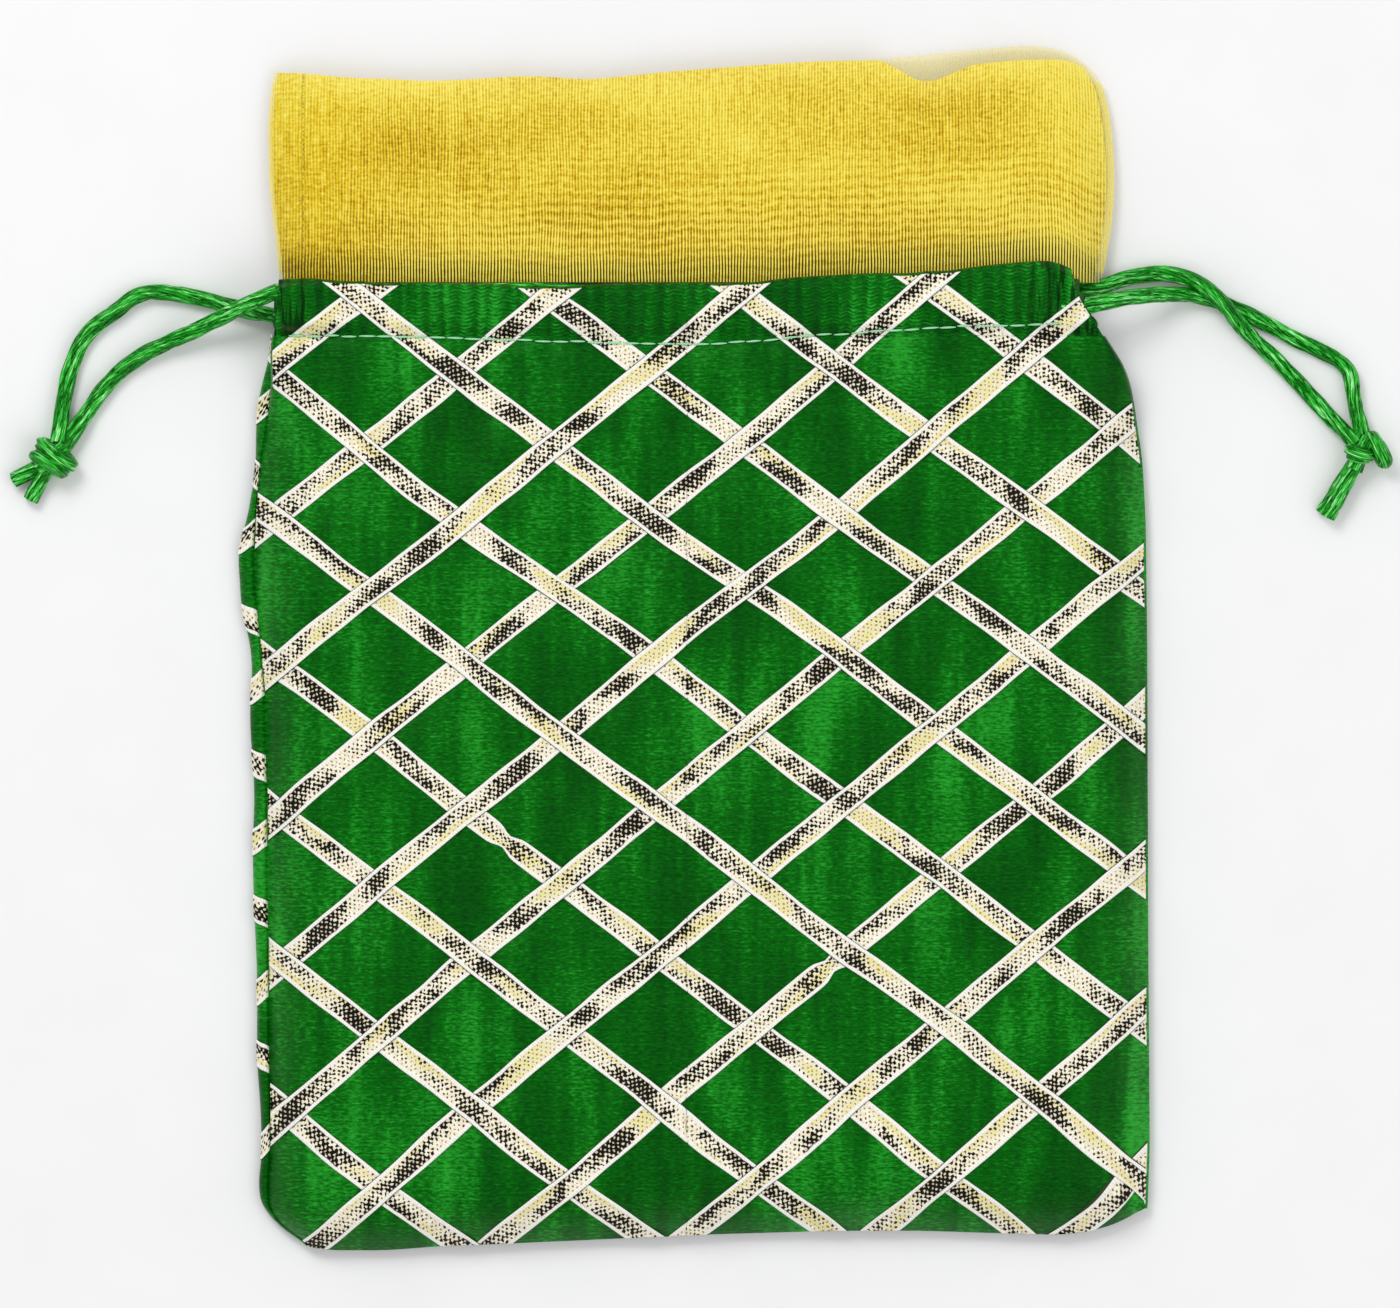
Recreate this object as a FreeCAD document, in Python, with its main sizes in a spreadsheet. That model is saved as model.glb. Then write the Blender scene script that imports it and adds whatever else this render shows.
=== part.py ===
"""Fabric gift sack with two drawcords, lying flat on its back.

X runs across the sack, Y runs towards its mouth and Z points up, away from the table.
The origin is on the table, under the middle of the sack without its free cords.

The sack is two silk panels sewn together at the sides and the bottom.  A lattice of metallic
ribbons is sewn over both panels.  The top of each panel is folded into a casing, a flat tunnel,
and a collar of gold tissue stands out of the casings.  Two drawcords run right round the mouth
inside the casings.  Each leaves at its own side, and its two strands are tied in one knot.
"""
import FreeCAD
import Part
import Sketcher
import math
import os

Vector = FreeCAD.Vector

# Driving dimensions in millimetres and degrees.
SIZES = {
    "body_half": 90.0,             # half the width of the panels
    "bottom_edge": -120.4,         # Y of the bottom seam
    "bottom_corner": 13.0,         # how far the bottom corners are cut back
    "shoulder_line": 37.0,         # Y where the sides start to narrow towards the mouth
    "mouth_half": 83.5,            # half the width of the panels at the stitch line
    "stitch_line": 62.0,           # Y of the stitch line that closes the casing
    "casing_top": 75.2,            # Y of the folded top edge of the casing
    "mouth_centre": -1.5,          # X of the middle of the casing and collar
    "casing_half": 81.3,           # half the width of the mouth, with its cord exits
    "exit_depth": 9.3,             # width of the folded hem at each end of the casings
    "exit_wall": 2.3,              # thickness of the hem's end, which a cord leaves through
    "casing_depth": 3.8,           # thickness of each casing tunnel
    "collar_half": 83.8,           # half the width of the collar
    "collar_lap": 0.4,             # how far the collar reaches into the casing's top edge
    "collar_left": 114.4,          # Y of the collar's top edge at its left side
    "collar_peak": 120.4,          # Y of the collar's highest point, near its right side
    "collar_right": 108.0,         # Y of the collar's top edge at its right side
    "silk": 0.4,                   # thickness of the panel cloth
    "tissue": 0.3,                 # thickness of the collar cloth
    "seam_depth": 0.8,             # two layers of panel cloth, turned in at a seam
    "seam_width": 6.0,             # width of the cloth turned in at a seam
    "ribbon_width": 4.8,
    "ribbon_cloth": 0.25,          # thickness of one ribbon
    "ribbon_pitch": 23.2,          # distance between ribbons, square to them
    "rising_angle": 39.5,          # slope of the ribbons that rise to the right
    "falling_angle": 37.0,         # slope of the ribbons that fall to the right
    "lattice_x": 10.7,             # a place where two ribbons cross
    "lattice_y": -16.5,
    "front_top": 13.2,             # Z of the front cloth, without its ribbons
    "edge_slope": 50.0,            # how far the front panel's edges lean in, from upright
    "crown_radius": 18.0,          # how softly the front panel turns from edge to top
    "cord_diameter": 2.8,
    "cord_hole": 3.4,              # hole in the hem that a cord runs through
    "upper_run": 70.9,             # Y of the upper cord in each casing
    "lower_run": 66.1,             # Y of the lower cord in each casing
    "knot_turn": 2.3,              # radius of one turn of a knot, to the middle of the cord
    "knot_core": 1.9,              # radius of the two strands squeezed together inside a knot
    "knot_lean": 18.0,             # how far each turn leans off square to the knot's length
    "stitch_length": 2.9,
    "stitch_pitch": 3.5,
    "stitch_thread": 0.5,
    "stitch_height": 0.9,
}

RISING_RIBBONS = range(-5, 6)      # numbered across the lattice, 0 through its named crossing
FALLING_RIBBONS = range(-5, 5)
LONG = 400.0                       # longer than the sack in any direction

# Free strands from the cord exit to the knot, then the knot and the ends of the tails.
# At the left the front strand lies over the back one; at the right the back one lies over.
LEFT_FRONT_ROUTE = [
    (-82.8, 70.9, 11.3), (-88.0, 69.6, 10.4), (-95.0, 66.2, 6.4), (-103.0, 62.6, 2.9),
    (-110.5, 59.0, 1.7), (-117.2, 53.8, 1.5), (-122.0, 46.2, 1.6), (-126.2, 39.4, 3.2),
]
LEFT_BACK_ROUTE = [
    (-82.8, 66.1, 2.4), (-89.5, 67.6, 1.9), (-97.5, 69.9, 1.5), (-105.5, 71.4, 1.5),
    (-112.8, 70.2, 1.6), (-119.2, 65.6, 1.5), (-123.6, 58.4, 1.5), (-126.2, 49.4, 1.6),
    (-127.3, 40.8, 3.2),
]
RIGHT_BACK_ROUTE = [
    (79.8, 70.9, 2.4), (86.3, 73.3, 1.8), (92.9, 74.7, 1.7), (98.7, 73.7, 2.8),
    (103.0, 71.3, 4.8), (107.3, 67.3, 4.8), (110.8, 61.9, 2.3), (116.3, 56.0, 1.5),
    (123.0, 49.6, 1.6), (128.8, 44.5, 1.9), (133.8, 41.4, 3.2),
]
RIGHT_FRONT_ROUTE = [
    (79.8, 66.1, 11.3), (85.5, 68.3, 10.3), (91.5, 70.2, 6.4), (98.0, 70.6, 2.8),
    (104.6, 69.8, 1.5), (112.0, 66.8, 1.5), (119.2, 62.7, 1.5), (125.6, 59.2, 1.5),
    (131.0, 56.0, 1.6), (133.3, 49.6, 1.7), (134.9, 43.2, 3.1),
]
KNOTS = {
    "left": {"centre": (-128.4, 37.6, 3.75), "turned": 225.0,
             "tails": [(-136.0, 33.4, 1.5), (-132.6, 29.6, 1.5)]},
    "right": {"centre": (134.4, 39.2, 3.75), "turned": 250.0,
              "tails": [(125.2, 26.4, 1.5), (128.0, 24.9, 1.5)]},
}

doc = FreeCAD.newDocument("gift_sack")
sheet = doc.addObject("Spreadsheet::Sheet", "dims")
for row, (alias, value) in enumerate(SIZES.items(), start=1):
    sheet.set(f"A{row}", alias)
    sheet.set(f"B{row}", str(value))
    sheet.setAlias(f"B{row}", alias)
doc.recompute()

nodes = []


def size(alias):
    """The value of one cell of the sheet."""
    return float(sheet.get(alias))


def bind(item, **properties):
    """Bind properties of an object to expressions on the sheet."""
    for name, expression in properties.items():
        item.setExpression(name, expression)
    return item


def move(item, x="0", y="0", z="0"):
    """Bind an object's position to expressions on the sheet."""
    for axis, expression in zip("xyz", (x, y, z)):
        item.setExpression(f".Placement.Base.{axis}", expression)
    return item


def add(kind, name, **properties):
    """Add one object, with the properties that are set to plain values."""
    item = doc.addObject(kind, name)
    for key, value in properties.items():
        setattr(item, key, value)
    return item


def box(name, length, width, height, x="0", y="0", z="0"):
    """A box whose sizes and low corner are expressions."""
    item = bind(add("Part::Box", name), Length=length, Width=width, Height=height)
    return move(item, x, y, z)


def publish(item, label):
    """Give a finished sub-part the name of its file."""
    item.Label = label
    nodes.append(item)
    return item


def polygon_sketch(body, role, corners, name="outline"):
    """A closed sketch on an origin plane, each corner at a pair of expressions."""
    plane = next(item for item in body.Origin.OriginFeatures if item.Role == role)
    sketch = body.newObject("Sketcher::SketchObject", name)
    sketch.AttachmentSupport = [(plane, "")]
    sketch.MapMode = "FlatFace"
    places = [Vector(*(float(sketch.evalExpression(part)) for part in corner), 0)
              for corner in corners]
    count = len(places)
    for index in range(count):
        sketch.addGeometry(Part.LineSegment(places[index], places[(index + 1) % count]), False)
    for index in range(count):
        following = (index + 1) % count
        sketch.addConstraint(Sketcher.Constraint("Coincident", index, 2, following, 1))
        for kind, place, part in zip(("DistanceX", "DistanceY"), places[index], corners[index]):
            number = sketch.addConstraint(Sketcher.Constraint(kind, -1, 1, index, 1, place))
            sketch.setExpression(f"Constraints[{number}]", part)
    return sketch


def pad(body, sketch, length, name="pad", **properties):
    """Pad a sketch by a length that is an expression."""
    feature = body.newObject("PartDesign::Pad", name)
    feature.Profile = sketch
    for key, value in properties.items():
        setattr(feature, key, value)
    feature.setExpression("Length", length)
    doc.recompute()
    return feature


def edges_where(shape, test):
    """Names of the edges whose every end passes a test."""
    return [f"Edge{number}" for number, edge in enumerate(shape.Edges, start=1)
            if all(test(vertex.Point) for vertex in edge.Vertexes)]


def faces_where(shape, test):
    """Names of the faces whose bounding box passes a test."""
    return [f"Face{number}" for number, face in enumerate(shape.Faces, start=1)
            if test(face.BoundBox)]


def fillet(body, base, edges, radius, name="fillet"):
    """Round some edges of a feature."""
    feature = body.newObject("PartDesign::Fillet", name)
    feature.Base = (base, edges)
    feature.setExpression("Radius", radius)
    doc.recompute()
    return feature


def hollow(body, base, faces, wall):
    """Turn a feature into a skin of even thickness, open at the named faces."""
    feature = body.newObject("PartDesign::Thickness", "skin")
    feature.Base = (base, faces)
    feature.Reversed = True
    feature.setExpression("Value", wall)
    doc.recompute()
    return feature


def near(value, other):
    """Whether two lengths are the same, to a thousandth of a millimetre."""
    return abs(value - other) < 1e-3


def panel_outline(mouth="dims.stitch_line"):
    """Corners of a panel, seen from above, up to its mouth."""
    left_bottom = ("-dims.body_half + dims.bottom_corner", "dims.bottom_edge")
    right_bottom = ("dims.body_half - dims.bottom_corner", "dims.bottom_edge")
    right_corner = ("dims.body_half", "dims.bottom_edge + dims.bottom_corner")
    left_corner = ("-dims.body_half", "dims.bottom_edge + dims.bottom_corner")
    right_mouth = ("dims.mouth_centre + dims.mouth_half", mouth)
    left_mouth = ("dims.mouth_centre - dims.mouth_half", mouth)
    return [left_bottom, right_bottom, right_corner, ("dims.body_half", "dims.shoulder_line"),
            right_mouth, left_mouth, ("-dims.body_half", "dims.shoulder_line"), left_corner]


def front_form(name, lift):
    """The crowned solid under the front cloth, cut off square at the stitch line."""
    body = add("PartDesign::Body", name)
    rim = "(2 * dims.ribbon_cloth + dims.silk + dims.seam_depth)"
    beyond = f"dims.stitch_line + 2 * (dims.front_top - {rim}) * tan(dims.edge_slope)"
    corners = panel_outline()
    right_mouth, left_mouth = corners[4], corners[5]
    corners[5:5] = [(right_mouth[0], beyond), (left_mouth[0], beyond)]
    form = pad(body, polygon_sketch(body, "XY_Plane", corners), f"dims.front_top - {rim}",
               TaperAngle=-size("edge_slope"))
    form.setExpression("TaperAngle", "-dims.edge_slope")
    doc.recompute()
    level = form.Shape.BoundBox.ZMax
    top = edges_where(form.Shape, lambda point: near(point.z, level))
    form = fillet(body, form, top, "dims.crown_radius")
    aside = "dims.body_half + 20"
    cut_plan = [(f"-({aside})", "dims.stitch_line"), (aside, "dims.stitch_line"),
                (aside, f"{beyond} + 5"), (f"-({aside})", f"{beyond} + 5")]
    cut = body.newObject("PartDesign::Pocket", "mouth_cut")
    cut.Profile = polygon_sketch(body, "XY_Plane", cut_plan, "mouth_cut_plan")
    cut.Type = "ThroughAll"
    cut.Midplane = True
    doc.recompute()
    assert cut.Shape.Volume < form.Shape.Volume - 1.0
    return move(body, z=f"{rim} + {lift}")


def make_back_panel():
    """The flat panel that lies on the table."""
    body = add("PartDesign::Body", "back_panel")
    sketch = polygon_sketch(body, "XY_Plane", panel_outline())
    pad(body, sketch, "dims.silk")
    move(body, z="2 * dims.ribbon_cloth")
    publish(body, "back_panel")


def make_front_panel():
    """The crowned front panel, open below and at the mouth."""
    outside = front_form("front_outside", "0")
    inside = front_form("front_inside", "-dims.silk")
    publish(add("Part::Cut", "front_cloth", Base=outside, Tool=inside), "front_panel")
    return outside


def make_seams():
    """Cloth turned in along both sides and the bottom, between the two panels."""
    rim = "2 * dims.ribbon_cloth + dims.silk"
    side = [("0", "dims.bottom_edge + dims.bottom_corner"), ("dims.body_half", "0")]
    low, high = side[0][1], "dims.shoulder_line"
    for name, sign in (("left_side_seam", "-"), ("right_side_seam", "")):
        edge = f"{sign}dims.body_half"
        inner = f"{sign}(dims.body_half - dims.seam_width)"
        mouth = f"dims.mouth_centre + {sign}1 * dims.mouth_half"
        mouth_inner = f"dims.mouth_centre + {sign}1 * (dims.mouth_half - dims.seam_width)"
        body = add("PartDesign::Body", name)
        corners = [(edge, low), (edge, high), (mouth, "dims.stitch_line"),
                   (mouth_inner, "dims.stitch_line"), (inner, high), (inner, low)]
        pad(body, polygon_sketch(body, "XY_Plane", corners), "dims.seam_depth")
        publish(move(body, z=rim), name)
    body = add("PartDesign::Body", "bottom_seam")
    reach = "dims.bottom_edge + dims.seam_width"
    corners = [("-dims.body_half + dims.bottom_corner", "dims.bottom_edge"),
               ("dims.body_half - dims.bottom_corner", "dims.bottom_edge"),
               ("dims.body_half", low), ("dims.body_half - dims.seam_width", low),
               ("dims.body_half - dims.bottom_corner", reach),
               ("-dims.body_half + dims.bottom_corner", reach),
               ("-dims.body_half + dims.seam_width", low), ("-dims.body_half", low)]
    pad(body, polygon_sketch(body, "XY_Plane", corners), "dims.seam_depth")
    publish(move(body, z=rim), "bottom_seam")


def make_casing(name, height):
    """A flat tunnel across the mouth, folded from the top of one panel."""
    body = add("PartDesign::Body", name)
    low, high = "dims.stitch_line", "dims.casing_top"
    outer = [(low, "0"), (high, "0"), (high, "dims.casing_depth"), (low, "dims.casing_depth")]
    sketch = polygon_sketch(body, "YZ_Plane", outer)
    tunnel = pad(body, sketch, "2 * (dims.casing_half - dims.exit_depth)", Midplane=True)
    fold = edges_where(tunnel.Shape, lambda point: near(point.y, size("casing_top")))
    fold = [edge for edge in fold if tunnel.Shape.getElement(edge).Length > 10]
    rounded = fillet(body, tunnel, fold, "0.3 * dims.casing_depth")
    ends = faces_where(rounded.Shape, lambda limits: limits.XLength < 0.01)
    hollow(body, rounded, ends, "dims.silk")
    publish(move(body, x="dims.mouth_centre", z=height), name)


def make_stitches(name, height):
    """A running stitch in thick thread along the casing, one dash after another."""
    count = int(2 * (size("casing_half") - size("exit_depth")) / size("stitch_pitch"))
    dashes = []
    for index in range(count):
        start = f"dims.mouth_centre + {index - count / 2} * dims.stitch_pitch"
        dash = box(f"{name}_dash", "dims.stitch_length", "dims.stitch_thread", "dims.stitch_height",
                   start, "dims.stitch_line", height)
        dashes.append(dash)
    publish(add("Part::Compound", name, Links=dashes), name)


def collar_corners():
    """Corners of one collar layer, about the middle of the mouth."""
    root = "dims.casing_top - dims.collar_lap"
    return [("-dims.collar_half", root), ("dims.collar_half", root)] + collar_edge()


def collar_edge():
    """The collar's uneven top edge, from right to left."""
    return [("dims.collar_half", "dims.collar_right"),
            ("0.95 * dims.collar_half", "dims.collar_peak - 2.5"),
            ("0.8 * dims.collar_half", "dims.collar_peak"),
            ("-0.1 * dims.collar_half", "dims.collar_left + 0.4"),
            ("-dims.collar_half", "dims.collar_left")]


def make_back_collar():
    """The collar's back layer, a flat sheet with an uneven top edge."""
    body = add("PartDesign::Body", "back_collar")
    pad(body, polygon_sketch(body, "XY_Plane", collar_corners()), "dims.tissue")
    publish(move(body, x="dims.mouth_centre", z=BACK_COLLAR_LEVEL), "back_collar")


def make_front_collar():
    """The collar's front layer, bent down at both sides to meet the back layer."""
    body = add("PartDesign::Body", "front_collar")
    rise = f"(dims.front_top - dims.casing_depth - ({COLLAR_SEAM_TOP}))"
    root = "dims.casing_top - dims.collar_lap"
    plan = [("-dims.collar_half", root), ("dims.collar_half", root),
            ("dims.collar_half", "dims.collar_peak + 5"), ("-dims.collar_half", "dims.collar_peak + 5")]
    raised = pad(body, polygon_sketch(body, "XY_Plane", plan), rise)
    half, level = size("collar_half"), raised.Shape.BoundBox.ZMax
    sides = edges_where(raised.Shape, lambda point: near(point.z, level) and near(abs(point.x), half))
    sides = [edge for edge in sides if raised.Shape.getElement(edge).Length < half]
    rounded = fillet(body, raised, sides, f"0.8 * {rise}")
    open_faces = faces_where(rounded.Shape, lambda limits: limits.YLength < 0.01 or limits.ZMax < 0.01)
    skin = hollow(body, rounded, open_faces, "dims.tissue")
    waste = [("-dims.collar_half - 5", "dims.collar_peak + 15"),
             ("-dims.collar_half - 5", "dims.collar_left"),
             ("dims.collar_half + 5", "dims.collar_right"), ("dims.collar_half + 5", "dims.collar_peak + 15")]
    waste[2:2] = collar_edge()[-2:0:-1]
    cut = body.newObject("PartDesign::Pocket", "top_edge")
    cut.Profile = polygon_sketch(body, "XY_Plane", waste, "waste_plan")
    cut.Type = "ThroughAll"
    cut.Midplane = True
    doc.recompute()
    assert cut.Shape.Volume < skin.Shape.Volume - 1.0
    publish(move(body, x="dims.mouth_centre", z=COLLAR_SEAM_TOP), "front_collar")


def make_collar_seams():
    """Narrow seams that join the collar's two layers at its sides."""
    root = "dims.casing_top - dims.collar_lap"
    for name, side, top in (("left_collar_seam", "-dims.collar_half", "dims.collar_left"),
                            ("right_collar_seam", "dims.collar_half - 1.5", "dims.collar_right")):
        seam = box(f"{name}_strip", "1.5", f"{top} - ({root})", "dims.tissue",
                   f"dims.mouth_centre + {side}", root, f"{BACK_COLLAR_LEVEL} + dims.tissue")
        publish(seam, name)


def lattice_strip(name, angle, number, z, height):
    """A straight strip through the lattice, as a box turned about the vertical."""
    strip = bind(add("Part::Box", name), Width="dims.ribbon_width", Height=height)
    strip.Length = LONG
    turn = FreeCAD.Rotation(Vector(0, 0, 1), angle)
    corner = Vector(-LONG / 2, number * size("ribbon_pitch") - size("ribbon_width") / 2, 0)
    crossing = Vector(size("lattice_x"), size("lattice_y"), z)
    strip.Placement = FreeCAD.Placement(crossing + turn.multVec(corner), turn)
    return strip


def ribbon_families():
    """Both directions of the lattice: name, slope, numbers and layer above the cloth."""
    return [("falling", -size("falling_angle"), FALLING_RIBBONS, 0),
            ("rising", size("rising_angle"), RISING_RIBBONS, 1)]


def make_front_ribbons(outside):
    """One ribbon per node, laid over the front panel and its casing."""
    levels = [outside] + [front_form(f"ribbon_level_{layer}", f"{layer} * dims.ribbon_cloth")
                          for layer in (1, 2)]
    for family, angle, numbers, layer in ribbon_families():
        skin = add("Part::Cut", f"{family}_skin", Base=levels[layer + 1], Tool=levels[layer])
        flat = box(f"{family}_casing_cover", "2 * (dims.casing_half - dims.exit_depth)",
                   "dims.casing_top - dims.stitch_line", "dims.ribbon_cloth",
                   "dims.mouth_centre - dims.casing_half + dims.exit_depth", "dims.stitch_line",
                   f"dims.front_top + {layer} * dims.ribbon_cloth")
        cover = add("Part::Fuse", f"{family}_sheet", Base=skin, Tool=flat)
        doc.recompute()
        for count, number in enumerate(numbers, start=1):
            strip = lattice_strip(f"{family}_strip", angle, number, 0, "30")
            ribbon = add("Part::Common", "ribbon", Base=cover, Tool=strip)
            publish(ribbon, f"front_{family}_ribbon_{count:02d}")


def make_back_ribbons():
    """The ribbons under the back panel, the rising ones nearest the cloth."""
    for family, angle, numbers, layer in ribbon_families():
        body = add("PartDesign::Body", f"back_{family}_plan")
        corners = panel_outline()
        half = "(dims.casing_half - dims.exit_depth)"
        corners[5:5] = [(f"dims.mouth_centre + {half}", "dims.stitch_line"),
                        (f"dims.mouth_centre + {half}", "dims.casing_top"),
                        (f"dims.mouth_centre - {half}", "dims.casing_top"),
                        (f"dims.mouth_centre - {half}", "dims.stitch_line")]
        pad(body, polygon_sketch(body, "XY_Plane", corners), "dims.ribbon_cloth")
        move(body, z=f"{layer} * dims.ribbon_cloth")
        strips = [lattice_strip(f"back_{family}_strip", 180 - angle, number, -1, "5")
                  for number in numbers]
        lattice = add("Part::Compound", f"back_{family}_lattice", Links=strips)
        ribbons = add("Part::Common", f"back_{family}_ribbons", Base=body, Tool=lattice)
        publish(ribbons, f"back_{family}_ribbons")


def smooth_path(points):
    """Straight runs joined by tangent arcs, as one wire, with its smallest radius."""
    places = [Vector(*point) for point in points]
    edges = []
    radii = []
    start = places[0]
    for before, corner, after in zip(places, places[1:], places[2:]):
        arriving = (corner - before).normalize()
        leaving = (after - corner).normalize()
        turn = arriving.getAngle(leaving)
        reach = 0.45 * min((corner - before).Length, (after - corner).Length)
        radii.append(reach / math.tan(turn / 2))
        arc_start = corner - arriving * reach
        arc_end = corner + leaving * reach
        inward = (leaving - arriving).normalize()
        sagitta = radii[-1] / math.cos(turn / 2) - radii[-1]
        edges.append(Part.LineSegment(start, arc_start).toShape())
        edges.append(Part.Arc(arc_start, corner + inward * sagitta, arc_end).toShape())
        start = arc_end
    edges.append(Part.LineSegment(start, places[-1]).toShape())
    return Part.Wire(edges), min(radii, default=0.0)


def sweep(name, wire):
    """A cord's tube along a wire, checked against its section times its length."""
    radius = size("cord_diameter") / 2
    first = wire.Edges[0]
    ring = Part.Wire(Part.makeCircle(radius, first.valueAt(first.FirstParameter),
                                     first.tangentAt(first.FirstParameter)))
    tube = Part.Wire(wire).makePipeShell([ring], True, True)
    expected = math.pi * radius ** 2 * wire.Length
    assert abs(tube.Volume / expected - 1) < 0.01, (name, tube.Volume, expected)
    item = add("Part::Feature", name)
    item.Shape = tube
    item.Placement = FreeCAD.Placement()
    return publish(item, name)


def make_channel_cord(side, sign, front_run, back_run):
    """The hidden part of a drawcord: through one casing, round the far end and back."""
    half = size("casing_half")
    front_z = size("front_top") - size("casing_depth") / 2
    back_z = 2 * size("ribbon_cloth") + size("casing_depth") / 2
    near_x = size("mouth_centre") + sign * half
    bend = Vector(0, size(back_run) - size(front_run), back_z - front_z)
    turn_radius = bend.Length / 2
    slack = 0.3
    far_x = size("mouth_centre") - sign * (half - size("exit_wall") - slack
                                           - size("cord_diameter") / 2 - turn_radius)
    front_start = Vector(near_x, size(front_run), front_z)
    front_end = Vector(far_x, size(front_run), front_z)
    back_end = front_end + bend
    back_start = front_start + bend
    middle = front_end + bend * 0.5 - Vector(sign * turn_radius, 0, 0)
    edges = [Part.LineSegment(front_start, front_end).toShape(),
             Part.Arc(front_end, middle, back_end).toShape(),
             Part.LineSegment(back_end, back_start).toShape()]
    sweep(f"{side}_channel_cord", Part.Wire(edges))


def make_knot(side):
    """Three turns of cord round a core where the two strands meet, then two tails."""
    data = KNOTS[side]
    centre = Vector(*data["centre"])
    along = FreeCAD.Rotation(Vector(0, 0, 1), data["turned"]).multVec(Vector(1, 0, 0))
    upright = FreeCAD.Rotation(Vector(0, 0, 1), along)
    leaning = FreeCAD.Rotation(Vector(0, 0, 1), size("knot_lean")).multiply(upright)
    diameter = size("cord_diameter")
    pieces = [Part.makeCylinder(size("knot_core"), 2.6 * diameter)]
    pieces[0].Placement = FreeCAD.Placement(centre - along * (1.3 * diameter), upright)
    for step in (-1, 0, 1):
        turn = Part.makeTorus(size("knot_turn"), diameter / 2)
        turn.Placement = FreeCAD.Placement(centre + along * (step * 0.85 * diameter), leaning)
        pieces.insert(0, turn)
    fused = pieces[0].multiFuse(pieces[1:])
    assert len(fused.Solids) == 1
    assert fused.Volume > 0.75 * sum(piece.Volume for piece in pieces)
    publish(add("Part::Feature", f"{side}_knot", Shape=fused), f"{side}_knot")
    for number, tip in enumerate(data["tails"], start=1):
        tip = Vector(*tip)
        root = centre + along * (0.5 * size("cord_diameter"))
        root.z = size("cord_diameter") / 2 + 1
        direction = tip - root
        tail = bind(add("Part::Cylinder", f"{side}_tail"), Radius="dims.cord_diameter / 2")
        tail.Height = direction.Length
        tail.Placement = FreeCAD.Placement(root, FreeCAD.Rotation(Vector(0, 0, 1), direction))
        publish(tail, f"{side}_cord_tail_{number}")


def make_drawcord(side, sign, front_run, back_run, front_route, back_route):
    """One drawcord: its hidden part, its two free strands, its knot and its tails."""
    make_channel_cord(side, sign, front_run, back_run)
    for name, route in (("front", front_route), ("back", back_route)):
        wire, smallest = smooth_path(route)
        print(f"{side}_{name}_strand: {wire.Length:.1f} mm long, smallest radius {smallest:.1f} mm")
        sweep(f"{side}_{name}_strand", wire)
    make_knot(side)


def make_cord_exit(side, sign, front_run, back_run):
    """The folded hem at one end of the casings, with a hole for each strand of its own cord.

    The far end of the other cord turns round inside it and pulls on its end wall.
    """
    low, high = "dims.stitch_line + dims.stitch_thread + 0.2", "dims.casing_top - 0.6"
    floor, ceiling = "2 * dims.ribbon_cloth", "dims.front_top"
    outer = f"dims.mouth_centre + {sign} * dims.casing_half"
    left = outer if sign < 0 else f"{outer} - dims.exit_depth"
    hem = box(f"{side}_hem", "dims.exit_depth", f"{high} - ({low})", f"{ceiling} - {floor}",
              left, low, floor)
    cavity = box(f"{side}_cavity", "dims.exit_depth", "40", f"{ceiling} - {floor} - 2 * dims.silk",
                 f"{left} - {sign} * dims.exit_wall", "dims.stitch_line - 10", f"{floor} + dims.silk")
    spaces = [cavity]
    for run, level in ((front_run, "dims.front_top - dims.casing_depth / 2"),
                       (back_run, "2 * dims.ribbon_cloth + dims.casing_depth / 2")):
        hole = bind(add("Part::Cylinder", f"{side}_hole"), Radius="dims.cord_hole / 2",
                    Height="3 * dims.exit_depth")
        hole.Placement = FreeCAD.Placement(Vector(), FreeCAD.Rotation(Vector(0, 1, 0), 90))
        spaces.append(move(hole, f"{left} - dims.exit_depth", f"dims.{run}", level))
    both = add("Part::MultiFuse", f"{side}_spaces", Shapes=spaces)
    publish(add("Part::Cut", f"{side}_exit", Base=hem, Tool=both), f"{side}_cord_exit")


BACK_COLLAR_LEVEL = "2 * dims.ribbon_cloth + dims.casing_depth"
COLLAR_SEAM_TOP = f"{BACK_COLLAR_LEVEL} + 2 * dims.tissue"

make_back_panel()
front_outside = make_front_panel()
make_seams()
make_casing("back_casing", "2 * dims.ribbon_cloth")
make_casing("front_casing", "dims.front_top - dims.casing_depth")
make_stitches("front_casing_stitches", "dims.front_top - dims.silk / 2")
make_stitches("back_casing_stitches", "0")
make_back_collar()
make_front_collar()
make_collar_seams()
make_front_ribbons(front_outside)
make_back_ribbons()
make_drawcord("left", -1, "upper_run", "lower_run", LEFT_FRONT_ROUTE, LEFT_BACK_ROUTE)
make_drawcord("right", 1, "lower_run", "upper_run", RIGHT_FRONT_ROUTE, RIGHT_BACK_ROUTE)
make_cord_exit("left", -1, "upper_run", "lower_run")
make_cord_exit("right", 1, "lower_run", "upper_run")

doc.recompute()
for item in doc.Objects:
    failed = {"Invalid", "Error"} & set(item.State)
    assert not failed, f"{item.Name} ({item.Label}) is {item.State}"
for item in nodes:
    assert not item.Shape.isNull() and item.Shape.isValid(), item.Label
    assert item.Shape.Solids, f"{item.Label} has no solid"

os.makedirs("parts", exist_ok=True)
for item in nodes:
    item.Shape.exportStep(f"parts/{item.Label}.step")
print(len(nodes), "parts")
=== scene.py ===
"""Looks of a flat fabric gift sack with a ribbon lattice, a sheer collar and two drawcords.

Lengths in this file are in millimetres until a mesh is made, unless a name says otherwise.
"""

import math
from functools import partialmethod

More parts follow.
